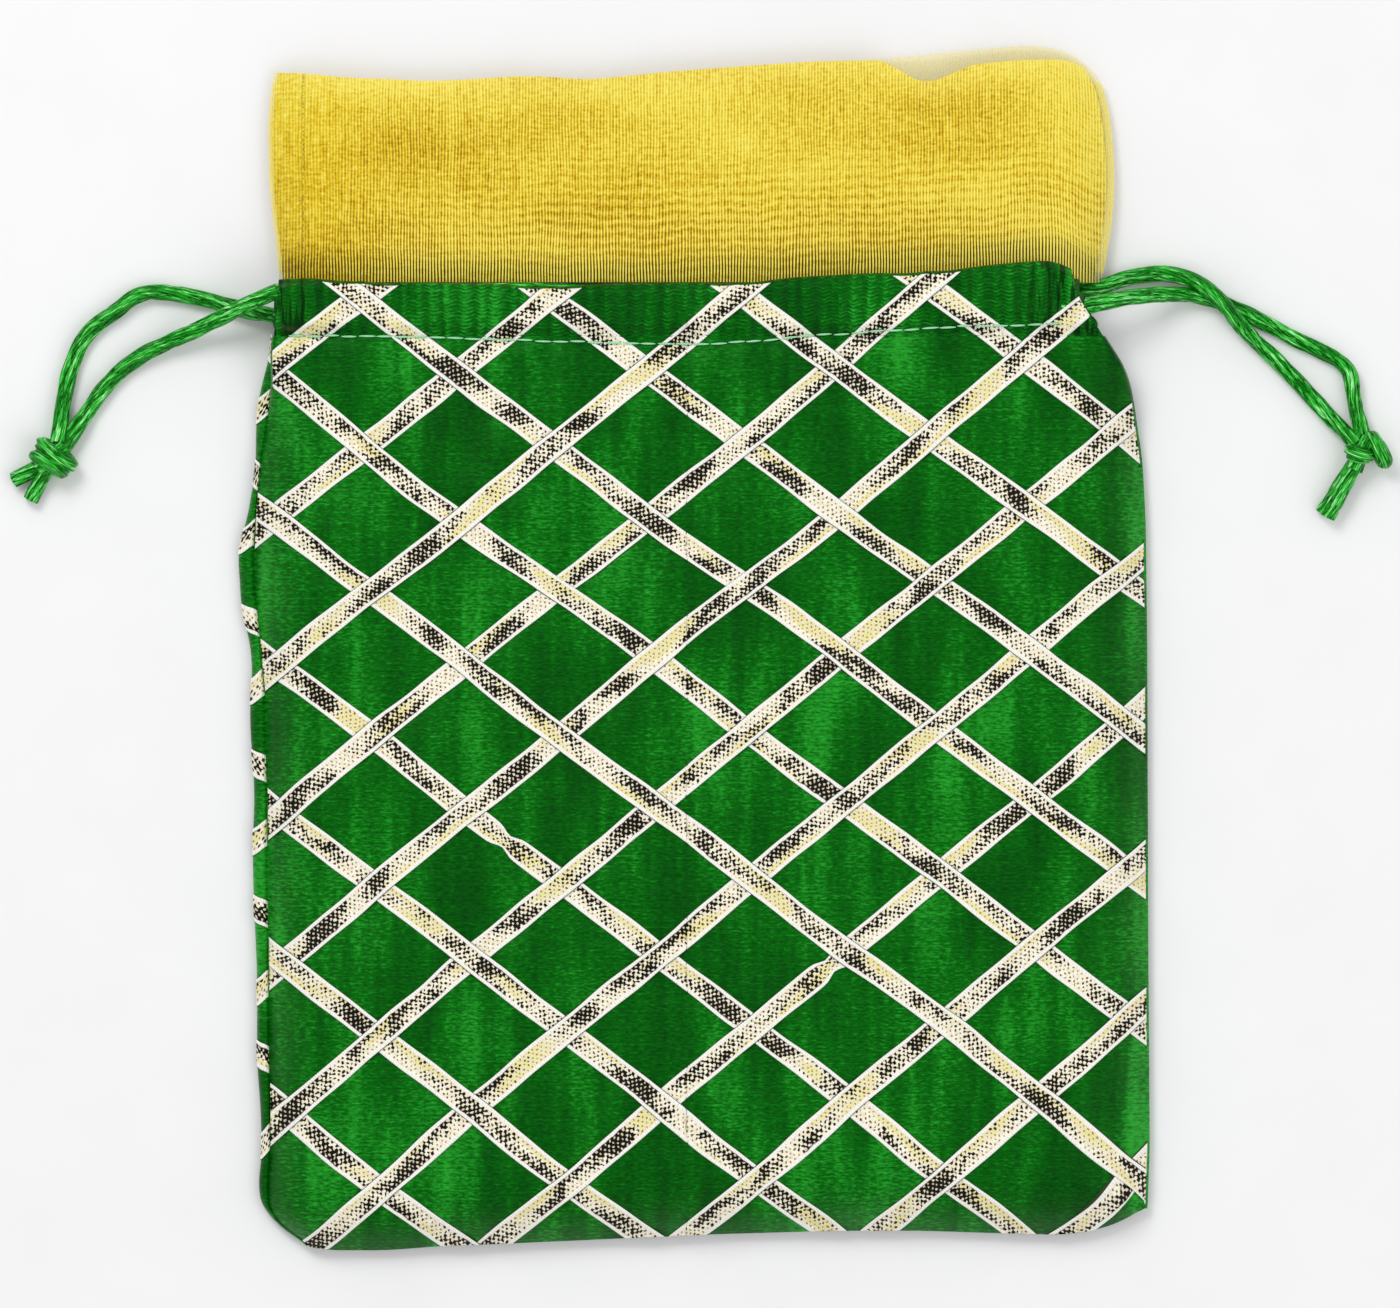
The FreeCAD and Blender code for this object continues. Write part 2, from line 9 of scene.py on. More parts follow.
import bpy
import numpy as np
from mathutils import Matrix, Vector


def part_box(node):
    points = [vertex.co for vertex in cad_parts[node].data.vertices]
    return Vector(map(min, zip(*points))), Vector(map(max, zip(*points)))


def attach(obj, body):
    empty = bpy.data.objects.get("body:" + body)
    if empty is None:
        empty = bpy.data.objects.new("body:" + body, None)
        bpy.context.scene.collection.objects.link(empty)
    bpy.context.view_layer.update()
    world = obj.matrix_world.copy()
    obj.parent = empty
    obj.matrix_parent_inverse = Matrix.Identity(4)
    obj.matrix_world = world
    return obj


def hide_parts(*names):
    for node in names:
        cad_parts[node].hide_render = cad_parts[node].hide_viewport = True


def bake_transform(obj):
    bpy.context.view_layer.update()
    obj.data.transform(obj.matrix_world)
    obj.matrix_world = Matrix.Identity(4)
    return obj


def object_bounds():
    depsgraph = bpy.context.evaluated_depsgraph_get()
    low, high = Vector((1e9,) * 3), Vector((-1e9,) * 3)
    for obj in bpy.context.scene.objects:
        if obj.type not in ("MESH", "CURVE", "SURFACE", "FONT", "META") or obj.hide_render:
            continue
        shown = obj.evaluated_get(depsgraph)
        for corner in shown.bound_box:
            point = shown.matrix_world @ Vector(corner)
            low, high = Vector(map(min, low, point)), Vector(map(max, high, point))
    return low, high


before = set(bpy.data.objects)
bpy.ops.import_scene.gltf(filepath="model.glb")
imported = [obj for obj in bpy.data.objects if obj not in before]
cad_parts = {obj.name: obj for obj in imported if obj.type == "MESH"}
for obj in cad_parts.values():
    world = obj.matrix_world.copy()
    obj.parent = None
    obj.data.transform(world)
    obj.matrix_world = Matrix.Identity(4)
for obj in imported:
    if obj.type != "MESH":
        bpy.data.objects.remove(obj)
CAD_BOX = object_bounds()
MM = 0.001
TAU = math.tau


# ---- places from the CAD model

def cad(*nodes):
    """Lowest and highest corner of some CAD nodes together, in millimetres."""
    boxes = [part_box(node) for node in nodes]
    low = np.min([np.array(box[0]) for box in boxes], axis=0) / MM
    high = np.max([np.array(box[1]) for box in boxes], axis=0) / MM
    return low, high


PANEL_LOW, PANEL_HIGH = cad("front_panel")
BACK_LOW, BACK_HIGH = cad("back_panel")
CASING_LOW, CASING_HIGH = cad("front_casing")
REAR_CASING_LOW, REAR_CASING_HIGH = cad("back_casing")
COLLAR_LOW, COLLAR_HIGH = cad("front_collar")
REAR_COLLAR_LOW = cad("back_collar")[0]
EXIT_LOW, EXIT_HIGH = cad("left_cord_exit", "right_cord_exit")
MIDDLE = (EXIT_LOW[0] + EXIT_HIGH[0]) / 2       # the sack gathers towards this line
HALF_MOUTH = (EXIT_HIGH[0] - EXIT_LOW[0]) / 2
SEWN = PANEL_HIGH[1]                            # height of the sewn line under the casing
COLLAR_FOOT = COLLAR_LOW[1]
CROWN = PANEL_HIGH[2] - 0.5                     # top of the silk, less its waves
RIM = PANEL_LOW[2] + 1.3                        # edge of the front silk, over the seam


# ---- shaping functions

def ease(value):
    """A smooth step from 0 to 1."""
    value = np.clip(value, 0, 1)
    return value * value * (3 - 2 * value)


def unit(vectors):
    return vectors / np.maximum(np.linalg.norm(vectors, axis=-1, keepdims=True), 1e-12)


def hump(offset, width):
    """1 where the offset is 0, falling smoothly to 0 on both sides."""
    return np.exp(-(offset / width) ** 2)


def field(x, y, size, seed, stretch=(1.0, 1.0)):
    """A smooth irregular field from about -1 to 1 with bumps about size apart."""
    rng = np.random.default_rng(seed)
    total = np.zeros(np.broadcast(x, y).shape)
    for _ in range(8):
        angle, phase = rng.uniform(0, TAU, 2)
        turns = TAU / (size * rng.uniform(0.7, 1.5))
        total += np.sin((x * math.cos(angle) / stretch[0] + y * math.sin(angle) / stretch[1]) * turns + phase)
    return total / 4


def through(*points):
    """A smooth curve through (place, value) points, as a function of place."""
    places, values = np.array(points, float).T

    def curve(at):
        at = np.asarray(at, float)
        return sum(np.interp(at + step, places, values) for step in (-3, -1.5, 0, 1.5, 3)) / 5

    return curve


# ---- outlines

LEFT_SIDE, RIGHT_SIDE = -87, 89     # rough x of the silk's sides, which the columns are counted from

# Insets from the CAD edges, by height up the sack or place across it.
LEFT_INSET = through(
    (-121, 16), (-117.5, 10), (-113.5, 4.7), (-107, 5.1), (-100, 5.4), (-84, 5.3), (-65, 5.1), (-35, 4.9),
    (-18, 4.6), (-10, 4.5), (-1, 3.5), (5, 3.2), (14, 2.2), (23, 2.3), (29, 2.7), (35, 3.1), (40, 3.8),
    (46, 5.4), (53, 6.1), (60, 5.9), (68, 7.3), (78, 7.2))
LIP_INSET = through(
    (-121, 16), (-117.5, 9.5), (-113, 3.8), (-108, 2.7), (-101, 3.6), (-90, 3.2), (-84, 2.6), (-65, 2.6),
    (-50, 1.9), (-40, 1.7), (-29, 2.1), (-14, 1.1), (-3, 1.7), (4, 0.6), (7, -0.5), (12, -0.8), (20, -1.3),
    (25, 0.5), (31, 1.5), (36, 2.4), (42, 2.3), (49, 2.7), (55, 4.2), (60, 5.5))
RIGHT_INSET = through(
    (-121, 0.5), (-113, 0), (-100, -0.5), (-60, -0.2), (0, 0), (25, 0.3), (38, 1), (44, 2), (50, 2.8),
    (55, 4.1), (59, 6.3), (62.5, 9.3), (64.5, 9.8), (66, 11.5), (68, 13), (70, 13.8), (72.5, 14.4),
    (77, 15.5))
BOTTOM_RISE = through(
    (-90, 3.4), (-80, 1.5), (-74, 0), (-61, 0), (-50, 0.9), (-38, 1.3), (-16, 2.3), (4, 3.2), (28, 3.9),
    (46, 3.9), (61, 3.4), (74, 3.1), (80, 3.9), (84, 5.3), (87, 6.4), (91, 9.5))

# Outlines at their own places.
CASING_EDGE = through(
    (-84, 72.4), (-75, 72.9), (-59, 72.1), (-43, 71.6), (-19, 71.6), (-3, 71.9), (13, 72.5), (21, 73.0),
    (37, 73.9), (53, 74.9), (61, 75.6), (69, 76.3), (73, 76.2), (77, 73.6), (81, 71.5))
STITCH_LINE = through(
    (-84, 62.1), (-55, 61.8), (-27, 60.9), (1, 60.3), (12, 60.9), (21, 61.9), (51, 63.8), (75, 64.4))
COLLAR_LEFT_EDGE = through(
    (70, -82.6), (80, -83.3), (86, -84.1), (92, -84.7), (98, -84.9), (104, -85.1), (110, -84.5), (120, -83.6))
COLLAR_RIGHT_EDGE = through(
    (70, 80.6), (80, 82.5), (86, 83.5), (92, 83.8), (98, 83.7), (104, 83.2), (110, 82.2), (115, 80.4),
    (120, 76))
TOP_AT_LEFT = (
    (-85, 114.9), (-77, 114.5), (-69, 113.6), (-61, 113.5), (-53, 112.9), (-33, 114.1), (-21, 113.3),
    (-5, 114.9), (11, 116.1))
COLLAR_TOP = {
    "back": through(
        *TOP_AT_LEFT, (23, 117.1), (35, 117.5), (43, 118.1), (59, 119.7), (67, 120.4), (75, 119.2),
        (80, 115.5), (84, 110)),
    "front": through(
        *TOP_AT_LEFT, (23, 116.9), (40, 117.2), (42, 113), (50, 113), (53, 116), (62, 117), (69, 117.3),
        (76, 117.4), (80, 114.5), (84, 110))}


def left_edge(y):
    return BACK_LOW[0] + LEFT_INSET(y)


def lip_edge(y):
    return BACK_LOW[0] + LIP_INSET(y)


def right_edge(y):
    return BACK_HIGH[0] - RIGHT_INSET(y)


def silk_edge(side, y):
    return left_edge(y) if side == "left" else right_edge(y)


def bottom_edge(x):
    return BACK_LOW[1] + BOTTOM_RISE(x)


def sewn_line(x):
    return np.full_like(x, SEWN)


def casing_edge(x):
    """The folded top edge of the casing, pinched where a ribbon goes over it."""
    edge = CASING_EDGE(x)
    return edge - 0.5 * under_ribbon(x, edge)


# ---- ribbon lattice

PITCH = 23.2                                # from ribbon centre to ribbon centre
RIBBON_HALF = 2.35
CROSSING = np.array((10.7, -16.5))          # where the two ribbons numbered 0 cross
WEAVE_LIFT = 0.42
FAMILIES = {"rising": (39.5, range(-5, 6)), "falling": (-37.0, range(-5, 5))}       # angle and numbers
SPLICES = {("falling", -2): -25.2, ("rising", -2): -17.1}       # where a ribbon is joined, along it
RISING_UNDER = ((2, 0), (4, 0), (-2, 0), (-2, 2), (-5, -1), (5, 1))     # crossings off the usual weave
RISING_OVER = ((1, 4), (3, 2), (2, -3), (0, -5))


def axes_of(family):
    """Unit vectors along and across the ribbons of a family."""
    angle = math.radians(FAMILIES[family][0])
    return np.array((math.cos(angle), math.sin(angle))), np.array((-math.sin(angle), math.cos(angle)))


def sag(x, y):
    """How far the lattice lies below straight lines: upper middle, bottom and lower right corner."""
    upper = 1.75 * ease((x + 84) / 34) * (1 - 0.5 * ease((x - 20) / 40)) * ease((y - 2) / 22)
    corner = ease((x - 60) / 20) * (0.9 * ease((-88 - y) / 16) + 1.6 * ease((-103 - y) / 9))
    return upper + ease((-88 - y) / 16) + corner


def to_nearest_ribbon(family, x, y):
    """Distance of a point from the nearest ribbon centre of a family."""
    across = axes_of(family)[1]
    y = y + sag(x, y)
    offset = ((x - CROSSING[0]) * across[0] + (y - CROSSING[1]) * across[1]) / PITCH
    return np.abs(offset - np.round(offset)) * PITCH


def under_ribbon(x, y):
    """1 under a ribbon, falling smoothly to 0 beside it."""
    near = np.minimum(to_nearest_ribbon("rising", x, y), to_nearest_ribbon("falling", x, y))
    return hump(near, 3.2)


def rising_on_top(rising, falling):
    """Which ribbon of a crossing lies over the other."""
    if falling == -1:
        return rising == 3
    if (rising, falling) in RISING_UNDER:
        return False
    if (rising, falling) in RISING_OVER or falling in (0, -2):
        return True
    return (rising + falling) % 2 == 0


# ---- cloth heights

FRONT_RIDGE = 11        # x of a soft upright ridge down the front silk
HEM_FOLDS = ((-78.2, 0.6), (-74.4, 0.4), (67.4, 0.7), (70.2, 1.0), (73.2, 0.8))     # x and depth of each


def front_height(x, y):
    """Height of the front silk: crowned, quilted by the ribbons, gathered at the casing."""
    shut = ease((SEWN + 2 - y) / 24)
    rim = RIM + (CROWN - 1.6 - RIM) * (1 - shut)
    inset = np.minimum(np.minimum(x - left_edge(y), right_edge(y) - x), (y - bottom_edge(x)) * 1.2)
    crown = 1 - (1 - np.clip(inset / 20, 0, 1)) ** 2.6
    ends = ease((np.abs(x - MIDDLE) - 60) / 14) * ease((y - SEWN + 14) / 12)
    pleats = field(x, y, 3.6, 4, (1, 6))
    creases = hump(field(x, y, 7, 5, (1, 9)), 0.16)
    waves = 0.45 * field(x, y, 34, 1) + 0.16 * field(x, y, 11, 2) + 0.25 * hump(x - FRONT_RIDGE, 1.3)
    height = rim + (CROWN - rim + waves - 0.42 * under_ribbon(x, y)) * crown
    puckers = 0.22 * field(x, y, 6, 3, (1, 3.5)) + ends * (0.3 * pleats - 0.5 * creases)
    height += ease(1 - np.abs(y - SEWN) / 24) * puckers
    height -= 0.7 * hump(y - STITCH_LINE(x), 1.5) * ease((SEWN + 2.4 - y) / 1.6)
    channel = ease((y - SEWN - 0.3) / 2.2) * ease((CASING_EDGE(x) + 0.6 - y) / 1.6)
    casing = CASING_HIGH[2] + 0.1 + 0.4 * ends + (0.12 + 0.35 * ends) * (pleats + 0.4) - 0.9 * ends * creases
    casing -= 0.25 * hump(y - STITCH_LINE(x), 1.2)
    height += channel * (np.maximum(casing, height) - height)
    for fold, depth in HEM_FOLDS:
        height -= depth * channel * hump(x - fold - 0.12 * (y - 68), 0.8)
    return height


def back_height(x, y):
    """Height of the back silk, which lies almost flat."""
    return BACK_LOW[2] + 0.15 + 0.12 * field(x, y, 30, 6) + 0.05 * field(x, y, 8, 7)


def collar_edge(side, layer, y):
    """x of a side of a collar layer. The front layer stops short of the seam at the edge."""
    if side == "left":
        return COLLAR_LEFT_EDGE(y) + (0.7 if layer == "front" else 0)
    return COLLAR_RIGHT_EDGE(y) - (1.5 if layer == "front" else 0)


def up_collar(y):
    """0 at the collar's foot to 1 near its free edge."""
    return np.clip((y - COLLAR_FOOT) / 40, 0, 1)


def collar_side_height(y):
    return 3.6 - 1.6 * up_collar(y)


def collar_height(layer, x, y):
    """Height of a collar layer, from its foot at the casing to its free edge."""
    front = layer == "front"
    foot, top, seed = (COLLAR_HIGH[2] - 0.6, 5.6, 31) if front else (REAR_COLLAR_LOW[2], 1.4, 35)
    inset = np.minimum(x - collar_edge("left", layer, y), collar_edge("right", layer, y) - x)
    crown = 1 - (1 - np.clip(inset / 9, 0, 1)) ** 2
    side = collar_side_height(y) + 0.25 * front
    height = side + (foot + (top - foot) * ease(up_collar(y)) - side) * crown
    return height + crown * (0.35 * field(x, y, 30, seed, (1, 2)) + 0.12 * field(x, y, 7, seed + 1, (1, 3)))


# ---- materials

class Value:
    """A number that changes over a surface. Sums, products and waves of it add the nodes they need."""

    def __init__(self, paint, socket):
        self.paint = paint
        self.socket = socket

    def math(self, operation, other=0.0):
        node = self.paint.add("ShaderNodeMath", {0: self, 1: other}, operation=operation)
        return Value(self.paint, node.outputs[0])

    __add__ = partialmethod(math, "ADD")
    __sub__ = partialmethod(math, "SUBTRACT")
    __mul__ = partialmethod(math, "MULTIPLY")
    __abs__ = partialmethod(math, "ABSOLUTE")
    sin = partialmethod(math, "SINE")
    cos = partialmethod(math, "COSINE")
    larger = partialmethod(math, "MAXIMUM")

    def between(self, low, high, start=0.0, end=1.0):
        """start where the number is low, end where it is high, with a smooth step from one to the other."""
        inputs = {0: self, 1: low, 2: high, 3: start, 4: end}
        node = self.paint.add("ShaderNodeMapRange", inputs, interpolation_type="SMOOTHSTEP")
        return Value(self.paint, node.outputs[0])


class Paint:
    """A procedural material, with short ways to add and join its nodes."""

    def __init__(self, name, roughness, specular, tint=(1, 1, 1)):
        self.material = bpy.data.materials.new(name)
        self.material.use_nodes = True
        self.tree = self.material.node_tree
        self.shader = self.tree.nodes["Principled BSDF"]
        self.shader.inputs["Roughness"].default_value = roughness
        self.shader.inputs["Specular IOR Level"].default_value = specular
        self.shader.inputs["Specular Tint"].default_value = (*tint, 1)
        self.uv = self.add("ShaderNodeUVMap", uv_map="cloth").outputs[0]
        split = self.add("ShaderNodeSeparateXYZ", {0: self.uv})
        self.u, self.v = (Value(self, split.outputs[axis]) for axis in (0, 1))

    def add(self, kind, inputs=None, **settings):
        node = self.tree.nodes.new(kind)
        for key, value in settings.items():
            setattr(node, key, value)
        for key, value in (inputs or {}).items():
            self.join(node.inputs[key], value)
        return node

    def join(self, socket, value):
        if isinstance(value, Value):
            value = value.socket
        if isinstance(value, bpy.types.NodeSocket):
            self.tree.links.new(socket, value)
        else:
            socket.default_value = value

    def place(self, x, y, z=0.0):
        return self.add("ShaderNodeCombineXYZ", {0: x, 1: y, 2: z}).outputs[0]

    def noise_at(self, place, scale=1.0, detail=2, rough=0.5):
        inputs = {"Vector": place, "Scale": scale, "Detail": detail, "Roughness": rough}
        return Value(self, self.add("ShaderNodeTexNoise", inputs).outputs[0])

    def noise(self, u_scale, v_scale, detail=2, rough=0.5):
        """Noise that changes faster along u or along v, as its scales say."""
        inputs = {0: self.uv, 1: (u_scale, v_scale, 1)}
        scaled = self.add("ShaderNodeVectorMath", inputs, operation="MULTIPLY").outputs[0]
        return self.noise_at(scaled, 1.0, detail, rough)

    def ramp(self, value, stops):
        node = self.add("ShaderNodeValToRGB", {0: value})
        points = node.color_ramp.elements
        while len(points) < len(stops):
            points.new(0.5)
        for point, (place, colour) in zip(points, stops):
            point.position = place
            point.color = (*colour, 1)
        return node.outputs[0]

    def mix(self, factor, first, second):
        def colour(value):
            return (*value, 1) if isinstance(value, tuple) else value

        inputs = {0: factor, 6: colour(first), 7: colour(second)}
        return self.add("ShaderNodeMix", inputs, data_type="RGBA").outputs[2]

    def finish(self, colour, height=None, distance=0.0002, strength=0.5, **sockets):
        self.join(self.shader.inputs["Base Color"], colour)
        for socket, value in sockets.items():
            self.join(self.shader.inputs[socket], value)
        if height is not None:
            bump = self.add("ShaderNodeBump", {"Height": height, "Distance": distance, "Strength": strength})
            self.join(self.shader.inputs["Normal"], bump.outputs[0])
        return self.material


def silk_material(name, lift, bow, ripple, hem_crease_shade):
    """Slubbed green silk: weft dashes that bow between upright columns, streaks, broad patches of painted
    satin sheen, painted highlights at its left and right, and painted crease shade near the hem ends.
    """
    paint = Paint(name, 0.42, 0.3, (0.12, 0.75, 0.12))
    u, v = paint.u, paint.v
    # patches: broad patches of painted satin sheen, lighter where the silk would reflect the light
    patches = paint.noise(0.55, 0.24)
    # Painted highlights: a lighter left part of the silk, and a bright line on its rolled right edge
    painted_left_sheen, painted_edge_highlight = u.between(-5.0, -8.5, 0.0, 0.025), u.between(8.3, 8.9, 0.0, 0.06)
    streaks = paint.noise(2.6, 0.3, detail=3)
    drift = streaks * 9.0
    column = (u * (TAU / 0.31) + drift).cos()
    bowed = v + column * bow
    dashes = paint.noise_at(paint.place(u * 8.0, bowed * 24.0), rough=0.6)
    slubs = paint.noise(0.9, 15)
    ripples = (bowed * (TAU / 0.072) + drift).sin()
    tone = patches * 0.40 + painted_left_sheen + painted_edge_highlight + streaks * 0.20 + dashes * 0.38 + slubs * 0.12
    tone = tone + ripples * ripple + column * ripple
    colour = paint.ramp(tone, [
        (0.40 - lift, (0.0006, 0.034, 0.0022)),
        (0.50 - lift, (0.0010, 0.070, 0.0030)),
        (0.58 - lift, (0.0020, 0.122, 0.0040)),
        (0.70 - lift, (0.0200, 0.340, 0.0250))])
    # Painted crease shade: dark pleat lines near the ends of the casing, where shade falls in the gathers
    near_hem = u.between(-7.2, -7.9).larger(u.between(6.5, 7.0))
    crease_shade = near_hem * paint.noise(8, 0.9).between(0.49, 0.57, 0.0, hem_crease_shade)
    colour = paint.mix(crease_shade, colour, (0.0003, 0.014, 0.001))
    return paint.finish(colour, dashes + slubs * 0.8, 0.00018, 0.5)


def ribbon_material():
    """Woven ribbon: ragged white selvedges and a cream net with holes, and long patches of painted dark
    reflection in which the holes are painted black.
    """
    paint = Paint("spangled_ribbon", 0.5, 0.12)
    hole_length, hole_width = 0.056, 0.66       # in centimetres along, in millimetres across
    v = paint.v + (paint.noise(6, 1.4) - 0.5) * 0.25
    along = paint.u * (math.pi / hole_length) + paint.noise(7, 2) * 7.0
    across = v * (math.pi * RIBBON_HALF / hole_width)
    holes = along.cos() * across.cos()
    half = paint.noise(1.5, 0, detail=1) - 0.5
    tint = paint.noise(0.5, 0.5, detail=1)
    # dark: long patches of painted dark reflection on the metallic yarn; in them the holes open wider and are
    # painted black, and the net is shaded brown.
    dark = paint.noise(0.8, 0.3, rough=0.55) + (paint.noise(8, 3) - 0.5) * 0.42
    dark = dark + tint.between(0.52, 0.60, 0.0, -0.10) + half * v * 0.6
    opening = holes - dark.between(0.36, 0.63, 0.66, -0.52)
    hole = opening.between(-0.04, 0.14)
    shaded_hole_colour = paint.ramp(dark, [
        (0.38, (0.40, 0.26, 0.07)),
        (0.44, (0.06, 0.040, 0.012)),
        (0.49, (0.003, 0.003, 0.002))])
    fleck = paint.noise(14, 2.2, detail=1)
    yellow = tint.between(0.53, 0.62) * fleck.between(0.38, 0.54)
    net = paint.mix(yellow, (0.95, 0.92, 0.78), (0.84, 0.78, 0.34))
    net = paint.mix(fleck.between(0.62, 0.38, 0.0, 0.35), net, (0.66, 0.52, 0.27))
    net = paint.mix(dark.between(0.48, 0.62, 0.0, 0.45), net, (0.30, 0.22, 0.08))
    # Painted shade round the rims of the holes.
    net = paint.mix(opening.between(-0.30, 0.0, 0.0, 0.42), net, (0.50, 0.36, 0.13))
    twist = (paint.u * (TAU / 0.055) + paint.v * 9.0).sin()
    selvedge = paint.mix(twist.between(-1.0, 0.2), (0.86, 0.83, 0.72), (0.98, 0.97, 0.94))
    colour = paint.mix(abs(v).between(0.77, 0.67), selvedge, paint.mix(hole, net, shaded_hole_colour))
    # Painted shadow: a thin dark line along the ribbon's edges, where it meets the silk.
    colour = paint.mix(abs(paint.v).between(0.985, 1.02), colour, (0.03, 0.05, 0.015))
    return paint.finish(colour, hole * -1.0 + twist * 0.3, 0.00015, 0.6)


def tissue_material(name, cover, lift):
    """Sheer gold tissue: fine upright warp, open at the foot, where a painted shadow shows dark through it,
    with a grainy weft above.
    """
    paint = Paint(name, 0.5, 0.25, (1.0, 0.8, 0.3))
    u, v = paint.u, paint.v
    clouds = paint.noise(0.2, 0.5, detail=3)
    drift = paint.noise(0.9, 0.5)
    warp = (u * (TAU / 0.062) + drift * 12.0).sin()
    slubs = paint.noise(16, 1.6)
    bars = paint.noise(6, 17)
    grain = paint.noise(15, 15)
    comb = v.between(2.0, 0.5, 0.095, 0.18) * u.between(-8.3, -5.5, 0.35, 1.0)
    watered = (v * (TAU / 0.19) + drift * 14.0).sin()
    watered = watered * u.between(-8.0, -2.0, 0.015, 0.05) * v.between(3.4, 1.2)
    # Painted shading: darker amber towards the lower left, paler towards the top and the right.
    painted_amber_shade = v.between(3.6, 1.0, 0.0, -0.085) * u.between(1.0, -6.0, 0.3, 1.0)
    band = abs(u + 4.85).between(0.13, 0.05, 0.0, 0.035)
    painted_pale_top = v.between(3.2, 4.4, 0.0, 0.05)
    painted_pale_right = u.between(4.5, 8.3, 0.0, 0.06)
    tone = clouds * 0.38 + (lift - 0.01) + slubs * 0.24 + bars * 0.30 + grain * 0.22 + warp * comb
    tone = tone + watered + painted_amber_shade + band + painted_pale_top + painted_pale_right
    colour = paint.ramp(tone, [
        (0.34, (0.28, 0.13, 0.004)),
        (0.44, (0.58, 0.35, 0.006)),
        (0.53, (0.78, 0.57, 0.016)),
        (0.66, (0.93, 0.80, 0.13))])
    # Painted shadow: the casing's shade showing dark through the open warp at the foot, and painted shade
    # along a fold near the left.
    shaded_open_foot = v.between(0.85, 0.30) * warp.between(0.2, -0.35)
    fold_shade_line = abs(u + 7.8).between(0.035, 0.015, 0.0, 0.5) * bars.between(0.48, 0.55)
    colour = paint.mix(shaded_open_foot.larger(fold_shade_line), colour, (0.05, 0.035, 0.003))
    return paint.finish(colour, warp, 0.0001, 0.4, Alpha=warp * 0.08 + cover)


def cord_material():
    """Satin cord: a loosely twisted strip, with painted highlights on its folds and thin painted crease shade
    between them.
    """
    paint = Paint("satin_cord", 0.32, 0.3, (0.3, 1.0, 0.3))
    wound = (paint.v - paint.u * 0.12) * TAU
    ring = paint.place(wound.cos() * 1.6, wound.sin() * 1.6, paint.u * 0.9)
    folds = paint.noise_at(ring, 1.5, 3, 0.6)
    fibres = paint.noise_at(ring, 6.0)
    tone = folds * 0.55 + fibres * 0.45
    # The ramp paints shade in the hollows of the folds and highlights, up to near white, on their crests.
    colour = paint.ramp(tone, [
        (0.39, (0.0005, 0.035, 0.001)),
        (0.45, (0.003, 0.190, 0.005)),
        (0.52, (0.014, 0.400, 0.018)),
        (0.60, (0.070, 0.620, 0.080)),
        (0.66, (0.450, 0.920, 0.420))])
    # Painted shade in the thin creases between the folds.
    crease_shade = abs(folds - 0.5).between(0.028, 0.008, 0.0, 0.95)
    colour = paint.mix(crease_shade, colour, (0.0003, 0.020, 0.0005))
    return paint.finish(colour, tone, 0.0004, 0.7)


def thread_material():
    """Thick sewing thread with a twist."""
    paint = Paint("mint_thread", 0.6, 0.3)
    twist = (paint.u * (TAU / 0.06) + paint.v * 12.0).sin()
    colour = paint.mix(twist.between(-1.0, 1.0), (0.22, 0.62, 0.32), (0.45, 0.85, 0.52))
    return paint.finish(colour, twist, 0.00008, 0.5)


def floor_material():
    """Plain pale backdrop."""
    paint = Paint("pale_floor", 0.9, 0.1)
    return paint.finish(paint.mix(paint.noise(0.5, 0.5), (0.86, 0.86, 0.87), (0.90, 0.90, 0.91)))


# Each with its slot.
# The last number sets how strong the painted crease shade near the hem ends is.
SILK = silk_material("green_silk", 0.0, 0.004, 0.006, 0.0), "green_silk"
CASING_SILK = silk_material("casing_silk", -0.02, 0.022, 0.036, 0.9), "green_silk"
RIBBON = ribbon_material(), "ribbon"
# The back tissue's lift is painted light: it pales the tissue against the shade that darkens it.
TISSUE = {"front": (tissue_material("gold_tissue", 0.92, 0.0), "gold_tissue"),
          "back": (tissue_material("sheer_gold_tissue", 0.36, 0.16), "gold_tissue")}
CORD = cord_material(), "cord"
THREAD = thread_material(), "stitch_thread"


# ---- meshes

def shown(name, data):
    """An object of the scene."""
    thing = bpy.data.objects.new(name, data)
    bpy.context.scene.collection.objects.link(thing)
    return thing


def mesh_piece(name, vertices, faces, uv, material, normals=None):
    """A smooth mesh from points in millimetres, with a UV map in centimetres of cloth."""
    mesh = bpy.data.meshes.new(name)
    mesh.from_pydata([tuple(point) for point in np.asarray(vertices) * MM], [], faces)
    layer = mesh.uv_layers.new(name="cloth")
    loops = np.zeros(len(mesh.loops), int)
    mesh.loops.foreach_get("vertex_index", loops)
    layer.data.foreach_set("uv", np.asarray(uv, float)[loops].ravel())
    mesh.polygons.foreach_set("use_smooth", [True] * len(mesh.polygons))
    mesh.materials.append(material)
    mesh.validate()
    if normals is not None:
        mesh.normals_split_custom_set_from_vertices([tuple(normal) for normal in normals])
    return shown(name, mesh)


def grid_faces(rows, columns, turned=False, closed=False):
    """Quads of a grid of vertices, row by row. A closed grid joins its last column to its first."""
    faces = []
    for row in range(rows - 1):
        here, above = row * columns, (row + 1) * columns
        for column in range(columns if closed else columns - 1):
            after = (column + 1) % columns
            corners = (here + column, here + after, above + after, above + column)
            faces.append(corners[::-1] if turned else corners)
    return faces


def grid(*axes):
    """Grid of points from their coordinates, each stretched to the whole grid."""
    return np.stack(np.broadcast_arrays(*axes), 2)


def grid_part(points, uv, **how):
    """Points, faces and UV of a grid, for joined()."""
    return points.reshape(-1, 3), grid_faces(*points.shape[:2], **how), uv.reshape(-1, 2)


def slot_piece(name, part, coat, node=None, normals=None):
    """A piece with a material, in the place of a CAD node."""
    material, slot = coat
    piece = mesh_piece(name, *part, material, normals)
    if node is not None:
        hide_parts(node)
    return piece


